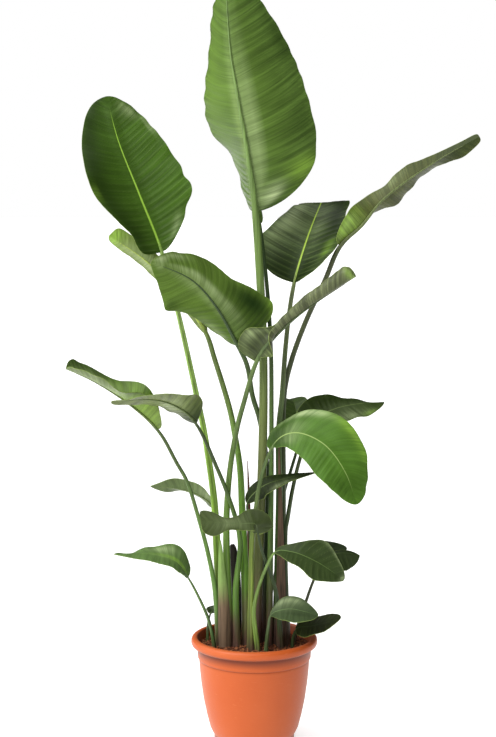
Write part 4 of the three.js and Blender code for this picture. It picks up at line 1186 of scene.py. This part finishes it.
# %% Soft spots
# Kinds of spot: shade is painted shade, the pale silvery kind is painted sheen and highlight with some waxy
# bloom, glow is painted light that shines through the sheet, and calm smooths the streaks.
SPOTS = {
    "leaf_top": [
        ("silver", 0.32, -0.02, 0.34, 0.035, 0.4), ("silver", 0.06, -0.22, 0.045, 0.22, 0.75),
        ("calm", 0.4, 0.45, 0.7, 0.5, 0.8), ("shade", 0.72, -0.85, 0.14, 0.35, 0.6),
        ("shade", 0.36, -0.7, 0.09, 0.35, 0.35), ("glow", 0.15, -0.75, 0.05, 0.4, 0.5),
        ("glow", 0.5, 0.5, 0.5, 0.7, 0.2), ("shade", 0.45, -0.3, 0.4, 0.2, 0.16),
    ],
    "leaf_upper_left": [
        ("shade", 0.5, -0.65, 1.2, 0.65, 0.95), ("silver", 0.9, 0.5, 0.05, 0.3, 0.45),
        ("silver", 0.78, 0.88, 0.09, 0.12, 0.4), ("shade", 0.5, 0.01, 0.5, 0.03, 0.5),
        ("silver", 0.12, 0.6, 0.06, 0.2, 0.3), ("glow", 0.45, -0.9, 0.05, 0.12, 0.35),
    ],
    "leaf_back_left": [("glow", 0.97, 0, 0.06, 1, 0.7), ("silver", 0.65, 0.1, 0.2, 0.5, 0.45)],
    "leaf_arching_left": [
        ("silver", 0.55, -0.05, 0.35, 0.06, 0.42), ("shade", 0.22, -0.48, 0.19, 0.44, 1.0),
        ("silver", 0.93, -0.35, 0.05, 0.35, 0.7), ("silver", 0.84, -0.6, 0.1, 0.25, 0.5),
        ("shade", 0.62, 0.65, 0.07, 0.25, 0.45), ("silver", 0.15, 0.6, 0.12, 0.3, 0.35),
        ("glow", 0.1, -0.95, 0.07, 0.14, 0.5), ("shade", 0.3, -0.3, 0.2, 0.2, 0.3),
    ],
    "leaf_rolled": [
        ("silver", 0.12, -0.6, 0.08, 0.3, 0.3), ("shade", 0.08, -0.1, 0.12, 0.3, 0.75),
        ("glow", 0.98, 0, 0.03, 1, 0.35),
    ],
    "leaf_upper_right": [
        ("silver", 0.46, -0.55, 0.2, 0.45, 0.7), ("shade", 0.06, 0, 0.16, 1, 0.7),
        ("shade", 0.42, 0.5, 0.45, 0.5, 0.95), ("glow", 0.22, 0.6, 0.07, 0.2, 0.3),
        ("shade", 0.8, 0, 0.2, 1, 0.7),
    ],
    "leaf_far_right": [
        ("glow", 0.11, 0.6, 0.1, 0.8, 0.75), ("silver", 0.12, 0.5, 0.06, 0.3, 0.35),
        ("silver", 0.45, 0.6, 0.1, 0.5, 0.2), ("shade", 0.9, 0.2, 0.25, 1, 0.65),
    ],
    "leaf_middle_left": [
        ("glow", 0.3, 0, 0.3, 1, 0.4), ("silver", 0.6, 0.1, 0.25, 0.4, 0.35),
        ("shade", 0.06, 0.6, 0.05, 0.5, 0.6),
    ],
    "leaf_middle_left_front": [
        ("shade", 0.05, 0, 0.15, 1.2, 0.85), ("silver", 0.35, 0.2, 0.14, 0.5, 0.4),
    ],
    "leaf_low_left": [("silver", 0.2, -0.4, 0.14, 0.5, 0.35)],
    "leaf_lowest_left": [
        ("silver", 0.4, 0.4, 0.14, 0.3, 0.45), ("glow", 0.25, 0.02, 0.25, 0.03, 0.5),
        ("shade", 0.12, 0.5, 0.08, 0.4, 0.35),
    ],
    "leaf_centre_front": [("silver", 0.55, 0.1, 0.2, 0.6, 0.22), ("shade", 0.12, 0.4, 0.14, 0.8, 0.55)],
    "leaf_bright_right": [
        ("shade", 0.07, 0, 0.13, 1.4, 0.9), ("silver", 0.2, 0.15, 0.08, 0.4, 0.25),
        ("silver", 0.25, -0.8, 0.12, 0.25, 0.75), ("glow", 0.55, -0.85, 0.15, 0.25, 0.6),
        ("shade", 0.85, 0.2, 0.1, 0.5, 0.35),
    ],
    "leaf_dark_right": [
        ("shade", 0.25, -0.5, 0.4, 0.5, 0.4), ("silver", 0.5, 0.6, 0.3, 0.5, 0.3),
        ("glow", 0.75, 0.7, 0.12, 0.3, 0.3),
    ],
    "leaf_centre_dark": [("silver", 0.55, 0.5, 0.15, 0.4, 0.3)],
    "leaf_low_right": [("silver", 0.97, 0, 0.03, 1, 0.3), ("silver", 0.75, -1, 0.3, 0.2, 0.35)],
    "leaf_base_right": [("silver", 0.35, -0.5, 0.22, 0.35, 0.45), ("shade", 0.6, 0.1, 0.3, 0.1, 0.4)],
}


def spotted(facts, spots):
    """Adds the soft spots of a blade to its facts. Where two of a kind meet, the stronger one shows."""
    across = facts["half"] * np.abs(facts["half"])
    facts.update(shade=0 * across, silver=0 * across, glow=0 * across, calm=0 * across)
    for kind, along, side, length, width, strength in spots:
        gap = ((facts["along"] - along) / length) ** 2 + ((across - side) / width) ** 2
        facts[kind] = np.maximum(facts[kind], strength * np.exp(-gap))


print("spots placed:", sum(len(spots) for spots in SPOTS.values()))

# %% [markdown]
# With its colours known, each leaf becomes one object that rides on the plant and stands in for the plain
# solid of the same name. Its blade and its stalk keep separate finishes.

# %% Leaf pieces
STALK_FOOT = "5A4038"
PHASE_STEP = 1.7
RIB_LINE_INSET = 1

for number, (name, shape) in enumerate(LEAVES.items()):
    slot, *codes, contrast = LEAF_LOOKS[name]
    upper, under, rib, middle, top = [paint(code) for code in codes]
    route, base, end = leaf_route(shape)
    thin = shape["radius"][1]
    rib_line = thin - RIB_LINE_INSET
    shine = SHINE.get(name, USUAL_SHINE)
    sheet_finish = blade_finish(name + "_blade", upper, under, rib, rib_line, contrast, shine)
    rod_finish = stalk_finish(name + "_stalk", paint(STALK_FOOT), middle, top, rib)
    blade = blade_part(shape, route, base - thin, end, number * PHASE_STEP)
    spotted(blade[3], SPOTS.get(name, []))
    stalk = stalk_part(shape, route, base, end)
    piece = build_piece("dressed_" + name, [blade, stalk], [sheet_finish, rod_finish])
    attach(piece, "root")
    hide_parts(name)
    print(name, "triangles:", triangle_count(piece))

# %% [markdown]
# Old leaves leave their dry bases behind, brown and papery, wrapped round the living stems. They are
# curled sheets like the blades, but thicker and with only faint pleats, so the same helper makes them.
# Two paints make the fibres of the foot, and a third one follows towards the top, which is still green on
# the sheath at the left.

# %% Dry sheaths
SHEATH_FACE = [(0, 1, 0)] * 3
SHEATH_LIFT = [5, 5, 5]
SHEATH_TIP_CURL = 20


def sheath(rib, right, left, ends, curl, thickness, colours):
    """A sheath: its route, the widths of its halves, how its ends narrow, its curl and its paints."""
    curls = [curl, curl, SHEATH_TIP_CURL]
    right, left = (half(width, ends, SHEATH_LIFT, curl=curls) for width in (right, left))
    return dict(rib=rib, face=SHEATH_FACE, right=right, left=left, thickness=thickness, colours=colours)


SHEATHS = {
    "sheath_left": sheath(
        [(-56, -22, 190), (-58, -23, 270), (-62, -24, 345), (-64, -24, 395)],
        [13, 12, 8], [13, 12, 8], (0.15, 0.5), 40, 1.6, ("6E5A46", "4A3C2E", "7E9A54"),
    ),
    "sheath_right": sheath(
        [(52, -14, 190), (50, -13, 431), (46, -11, 583)],
        [12, 11, 8, 7], [12, 9, 5, 4], (0.12, 0.6), 40, 1.6, ("5C4838", "332C20", "5C4838"),
    ),
    "sheath_middle": sheath(
        [(3, 22, 190), (-5, 24, 272), (-9, 26, 378), (-11, 28, 489), (-13, 30, 537)],
        [7, 6, 3], [7, 6, 3], (0.12, 0.5), 30, 1.4, ("7A5A44", "4A342C", "6A4438"),
    ),
    "sheath_back": sheath(
        [(-35, 40, 190), (-35, 42, 264), (-38, 44, 342), (-42, 46, 372)],
        [11, 11], [11, 11], (0.15, 0.25), 40, 1.4, ("2A2620", "1E1A16", "2A2620"),
    ),
}
print("sheaths:", len(SHEATHS))

# %% [markdown]
# The finish of a sheath is dull and full of fibres, which a noise makes that is stretched upwards even
# more than on the stalks. Blotches darken it here and there. Each sheath is then a single curled sheet
# that stands in for its plain solid.

# %% Sheath pieces
SHEATH_SURFACE = surface(roughness=0.7, shine=0.2)
SHEATH_FIBRES = (420, 14, 4.0)
SHEATH_FIBRE_RANGE = (0.3, 0.6)
SHEATH_TURNS = (0.42, 0.7)
TOP_FIBRE_TONE = 0.75
SHEATH_BLOTCHES = (40, 16, 3.0)
BLOTCH_RANGE = (0.45, 0.75)
BLOTCH_STRENGTH = 0.3
BLOTCH_DARK = (0.02, 0.015, 0.01, 1)
SHEATH_RELIEF = 0.8
SHEATH_DETAIL = 0.4


def sheath_finish(name, pale, dark, top):
    """Dry fibres in two paints that turn to the paint of the top halfway up."""
    finish, tree = new_finish(name, SHEATH_SURFACE)
    fibres = drawn_out(tree, *SHEATH_FIBRES)
    blotches = drawn_out(tree, *SHEATH_BLOTCHES)
    turned = ramped(tree, fact(tree, "along"), *SHEATH_TURNS)
    pale = mixed(tree, turned, pale, top)
    dark = mixed(tree, turned, dark, toned(top, TOP_FIBRE_TONE))
    colour = mixed(tree, ramped(tree, fibres, *SHEATH_FIBRE_RANGE), dark, pale)
    blotched = ramped(tree, blotches, *BLOTCH_RANGE, 0.0, BLOTCH_STRENGTH)
    return coated(finish, mixed(tree, blotched, colour, BLOTCH_DARK), fibres, SHEATH_RELIEF)


for number, (name, shape) in enumerate(SHEATHS.items()):
    foot = np.array(shape["rib"][0]) - (0, 0, ROOT_DEPTH)
    route = smooth_route([foot, *shape["rib"]])
    phase = number + SHEATH_DETAIL
    part = blade_part(shape, route, 0, route["lengths"][-1], phase, shape["thickness"], SHEATH_DETAIL)
    finish = sheath_finish(name + "_fibre", *[paint(code) for code in shape["colours"]])
    piece = build_piece("dressed_" + name, [part], [finish])
    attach(piece, "root")
    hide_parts(name)
    print(name, "triangles:", triangle_count(piece))

# %% [markdown]
# The nursery pot is moulded plastic in terracotta red: a tapering wall, a groove, a plain band, a rolled
# bead at the rim and a foot ring. It is turned from one outline, as on a lathe, with enough sides that
# its silhouette stays round. The measured solid has 40 sides, so a finer pot replaces it. Three soft dark
# lines, each with a height, a width and a strength, are painted shade under the bead and in the groove
# below the band, and a dark joint above the foot ring.

# %% The pot
POT_SIDES = 144
POT_HEIGHT = 205
RIM_RADIUS = 120
BEAD_WIDTH = 8
BEAD_HEIGHT = 17
BEAD_ARC = (-78, 100)
BEAD_POINTS = 15
BEAD_SQUARENESS = 0.8
FLOOR_THICKNESS = 4
SOIL_LEVEL = 188
WALL_OUTLINE = [
    (73.5, 0), (75.4, 0.5), (76.5, 2.2), (76.5, 17), (77.0, 18.4), (78.6, 19.4), (80.0, 22), (84.5, 32),
    (90.4, 55), (96.6, 85), (101, 116), (103.4, 139), (104.9, 158), (105.1, 161), (104.7, 162.4),
    (105.0, 163.6), (106.6, 164.4), (107.4, 165.6), (107.7, 169), (108.6, 184), (109.4, 186.6),
]
# Painted shade under the bead and in the groove below the band, and a dark joint above the foot ring.
SHADE_AND_JOINT_LINES = [(185, 5, 0.9), (163, 1.8, 0.4), (18, 2, 0.7)]
INSIDE_OUTLINE = [
    (108.6, 203.6), (108, 201), (105.5, 188), (104.4, 165), (102.2, 160), (98, 116), (93.6, 85), (87.4, 55),
    (81.5, 32), (73.5, 18), (73.5, 4),
]


def bead_outline():
    """The rolled rim, from its under side round its outside to the top of the mouth."""
    turns = np.radians(np.linspace(*BEAD_ARC, BEAD_POINTS))
    out, up = (np.sign(f(turns)) * np.abs(f(turns)) ** BEAD_SQUARENESS for f in (np.cos, np.sin))
    radii = RIM_RADIUS - BEAD_WIDTH + BEAD_WIDTH * out
    heights = POT_HEIGHT - BEAD_HEIGHT / 2 + BEAD_HEIGHT / 2 * up
    return list(zip(radii, heights))


def lathe(outline, sides):
    """Rings of points round the upright axis, from pairs of a radius and a height."""
    radii, heights = np.array(outline).T
    turn = np.linspace(0, 2 * np.pi, sides, endpoint=False)
    ring = np.stack([np.cos(turn), np.sin(turn), np.zeros(sides)], axis=-1)
    return radii[:, None, None] * ring[None] + heights[:, None, None] * np.array([0, 0, 1])


outline = WALL_OUTLINE + bead_outline() + INSIDE_OUTLINE
points, faces = tube(lathe(outline, POT_SIDES))
outer_rings = len(outline) - len(INSIDE_OUTLINE)
inside = (np.arange(len(points)) >= outer_rings * POT_SIDES) * 1.0
# Painted shade under the bead and in the groove, and the dark joint above the foot ring.
lines = [depth * np.exp(-(((points[:, 2] - height) / width) ** 2)) for height, width, depth in SHADE_AND_JOINT_LINES]
dark_line = sum(lines) * (1 - inside)
print("points round the pot:", len(points))

# %% [markdown]
# Moulded plastic has a faint grain and a satin shine, and a little sheen gives it the powdery bloom of
# such pots. The colour is almost even, with paler scuffs where the pot has been handled. The inner wall is
# darkened with painted shade, and so are the wall under the bead and the groove.

# %% The finish of the pot
POT_SURFACE = surface(roughness=0.4, shine=0.28)
POT_SHEEN = {"Sheen Weight": 0.06, "Sheen Roughness": 0.4, "Sheen Tint": paint("FFD8C4")}
TERRACOTTA = (paint("AE4A18"), paint("BC5C2A"))
POT_CLOUDS = (9, 4.0)
POT_GRAIN = 1400
SCUFFS = (60, 360, 5.0, 0.65)
SCUFF_RANGE = (0.6, 0.78)
SCUFF_STRENGTH = 0.3
SCUFF_PALE = paint("D88A5C")
LINE_SHADE_AND_JOINT = paint("5A200C")
# Painted shade on the inner wall of the pot.
INSIDE_SHADE_STRENGTH = 0.6
INSIDE_SHADE = paint("6A3018")
POT_RELIEF = 0.12


def pot_finish():
    finish, tree = new_finish("terracotta_plastic", {**POT_SURFACE, **POT_SHEEN})
    colour = mixed(tree, speckle(tree, object_place(tree), *POT_CLOUDS), *TERRACOTTA)
    scuffed = ramped(tree, drawn_out(tree, *SCUFFS), *SCUFF_RANGE, 0.0, SCUFF_STRENGTH)
    colour = mixed(tree, scuffed, colour, SCUFF_PALE)
    # Painted shade under the bead and in the groove, and the dark joint above the foot ring.
    colour = mixed(tree, fact(tree, "dark_line"), colour, LINE_SHADE_AND_JOINT)
    # Painted shade on the inner wall.
    colour = mixed(tree, times(tree, fact(tree, "inside"), INSIDE_SHADE_STRENGTH), colour, INSIDE_SHADE)
    return coated(finish, colour, speckle(tree, object_place(tree), POT_GRAIN), POT_RELIEF)


pot_part = (points, faces, 0, dict(dark_line=dark_line, inside=inside))
pot = build_piece("dressed_pot", [pot_part], [pot_finish()])
print("faces of the turned pot:", len(pot.data.polygons))

# %% [markdown]
# Water has to run out, so the floor of the pot is drilled. A boolean modifier takes a thin cylinder away
# for each drain hole and is applied at once. That is simpler than an outline for the lathe that would
# have to leave holes open.

# %% The drain holes
DRAIN_HOLES = 6
DRAIN_RADIUS = 5
DRAIN_CIRCLE = 54
DRILL_SIDES = 24
DRILL_LENGTH = 4 * FLOOR_THICKNESS

for k in range(DRAIN_HOLES):
    turn = 2 * math.pi * (k + 0.5) / DRAIN_HOLES
    place = Vector((DRAIN_CIRCLE * math.cos(turn), DRAIN_CIRCLE * math.sin(turn), 0)) * MM
    size = dict(radius=DRAIN_RADIUS * MM, depth=DRILL_LENGTH * MM)
    bpy.ops.mesh.primitive_cylinder_add(vertices=DRILL_SIDES, location=place, **size)
    drill = bpy.context.object
    cut = pot.modifiers.new("drain_hole", "BOOLEAN")
    cut.object = drill
    bpy.context.view_layer.objects.active = pot
    bpy.ops.object.modifier_apply(modifier=cut.name)
    bpy.data.objects.remove(drill)
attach(pot, "root")
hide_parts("pot")
print("faces of the drilled pot:", len(pot.data.polygons))

# %% [markdown]
# The soil is a coarse mix of peat and bark that fills the pot. Its body is turned on the same lathe as
# the pot, a little inside the pot's wall, and its top is then pushed up and down by a few crossing waves.
# A sculpted top would look no better at this size and would be harder to repeat.

# %% The body of the soil
SOIL_RADIUS = 105
SOIL_SIDES = 120
SOIL_RINGS = 42
INNERMOST_RING = 2.5
SOIL_WALL = [
    (73, 4.3), (73.2, 17), (81.2, 32), (87.1, 55), (93.3, 85), (97.7, 116), (101.9, 160), (104.4, 183),
]
WAVE_HEIGHT = 1.4
SECOND_WAVE = 0.6
CRUMB_HEIGHT = 0.7


def soil_height(x, y):
    """A rough top, in millimetres above the soil's level."""
    waves = np.sin(x * 0.31 + 1.3) * np.cos(y * 0.27 - 0.6) + SECOND_WAVE * np.sin(x * 0.71 - y * 0.53)
    crumbs = np.sin(x * 1.3 + 2 * np.sin(y * 0.9)) * np.sin(y * 1.5 + 2 * np.sin(x * 0.8))
    return WAVE_HEIGHT * waves / (1 + SECOND_WAVE) + CRUMB_HEIGHT * crumbs


def soil_body():
    """The soil as one turned solid with an uneven top."""
    radii = np.linspace(SOIL_RADIUS - 1, INNERMOST_RING, SOIL_RINGS)
    rings = lathe(SOIL_WALL + [(radius, SOIL_LEVEL) for radius in radii], SOIL_SIDES)
    top = rings[len(SOIL_WALL) :]
    top[..., 2] += soil_height(top[..., 0], top[..., 1])
    return tube(rings)


print("points of the soil's body:", len(soil_body()[0]))

# %% [markdown]
# About six hundred bark chips lie on the soil in all directions. Each one is a small uneven lump: a ball
# of a few points that is roughened, flattened, tilted and turned. Blender could scatter copies of one chip,
# but then they would all be alike. Here all the chips are merged with the body into one mesh, which is
# light and is a single piece. The random numbers have a fixed seed, so the soil is the same each
# time.

# %% Bark chips
SOIL_SEED = 11
CHIP_COUNT = 620
CHIP_RINGS = 5
CHIP_SIDES = 7
CHIP_POLE = 0.35
CHIP_ROUGHNESS = 0.28
CHIP_LENGTHS = (2.2, 5.5)
WIDTH_SHARES = (0.35, 0.7)
HEIGHT_SHARES = (0.15, 0.4)
CHIP_TILT = 0.35
CHIPS_REACH = 100
CHIP_RISE = 0.4


def chip_shape(draw):
    """An uneven lump of bark: a small ball of points that is flattened and turned."""
    polar = np.linspace(CHIP_POLE, np.pi - CHIP_POLE, CHIP_RINGS)[:, None]
    turn = np.linspace(0, 2 * np.pi, CHIP_SIDES, endpoint=False)[None]
    sides = [np.sin(polar) * np.cos(turn), np.sin(polar) * np.sin(turn), -np.cos(polar) + 0 * turn]
    ball = np.stack(sides, axis=-1)
    ball = ball * (1 + CHIP_ROUGHNESS * draw.standard_normal(ball.shape[:2])[..., None])
    size = draw.uniform(*CHIP_LENGTHS)
    ball = ball * np.array([size, size * draw.uniform(*WIDTH_SHARES), size * draw.uniform(*HEIGHT_SHARES)])
    spin, tilt = draw.uniform(0, 2 * np.pi), draw.normal(0, CHIP_TILT)
    x = ball[..., 0] * math.cos(spin) - ball[..., 1] * math.sin(spin)
    y = ball[..., 0] * math.sin(spin) + ball[..., 1] * math.cos(spin)
    return np.stack([x, y, ball[..., 2] + ball[..., 0] * tilt], axis=-1)


def soil_parts():
    """The body of the soil and its chips. Each chip has a shade of its own, and the body has none."""
    draw = np.random.default_rng(SOIL_SEED)
    parts = [(*soil_body(), 0, dict(chip=0.0))]
    for _ in range(CHIP_COUNT):
        chip = chip_shape(draw)
        radius, turn = CHIPS_REACH * math.sqrt(draw.random()), draw.uniform(0, 2 * np.pi)
        x, y = radius * math.cos(turn), radius * math.sin(turn)
        chip = chip + np.array([x, y, SOIL_LEVEL + float(soil_height(x, y)) + CHIP_RISE])
        parts.append((*tube(chip), 0, dict(chip=draw.uniform(0.2, 1))))
    return parts


print("a chip has", CHIP_RINGS * CHIP_SIDES + 2, "points")

# %% [markdown]
# Peat is dark and the bark on it lighter and redder. One fine noise runs through both, so that they look
# damp and crumbly, and a strong relief keeps the surface dull.

# %% The soil piece
SOIL_SURFACE = surface(roughness=0.9, shine=0.15)
CRUMBS = (420, 5.0, 0.7)
PEAT = (paint("301A12"), paint("7C462E"))
PEAT_RANGE = (0.35, 0.7)
BARK = (paint("562E1C"), paint("AC7048"))
BARK_RANGE = (0.3, 0.7)
CHIP_RANGE = (0.1, 1.0)
SOIL_RELIEF = 1.0


def soil_finish():
    finish, tree = new_finish("bark_soil", SOIL_SURFACE)
    crumbs = speckle(tree, object_place(tree), *CRUMBS)
    ground = mixed(tree, ramped(tree, crumbs, *PEAT_RANGE), *PEAT)
    bark = mixed(tree, ramped(tree, crumbs, *BARK_RANGE), *BARK)
    colour = mixed(tree, ramped(tree, fact(tree, "chip"), *CHIP_RANGE), ground, bark)
    return coated(finish, colour, crumbs, SOIL_RELIEF)


soil = build_piece("dressed_soil", soil_parts(), [soil_finish()])
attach(soil, "root")
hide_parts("soil")
print("soil triangles:", triangle_count(soil))

# %% [markdown]
# The last step gathers how large the measured plant and the dressed plant are, so that the two can be
# compared, and prints the size of the dressed plant.

# %% Sizes and the end
boxes = dict(solids=solid_box, dressed=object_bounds())
boxes = {name: [[float(c) for c in corner] for corner in box] for name, box in boxes.items()}
print("dressed:", boxes["dressed"])
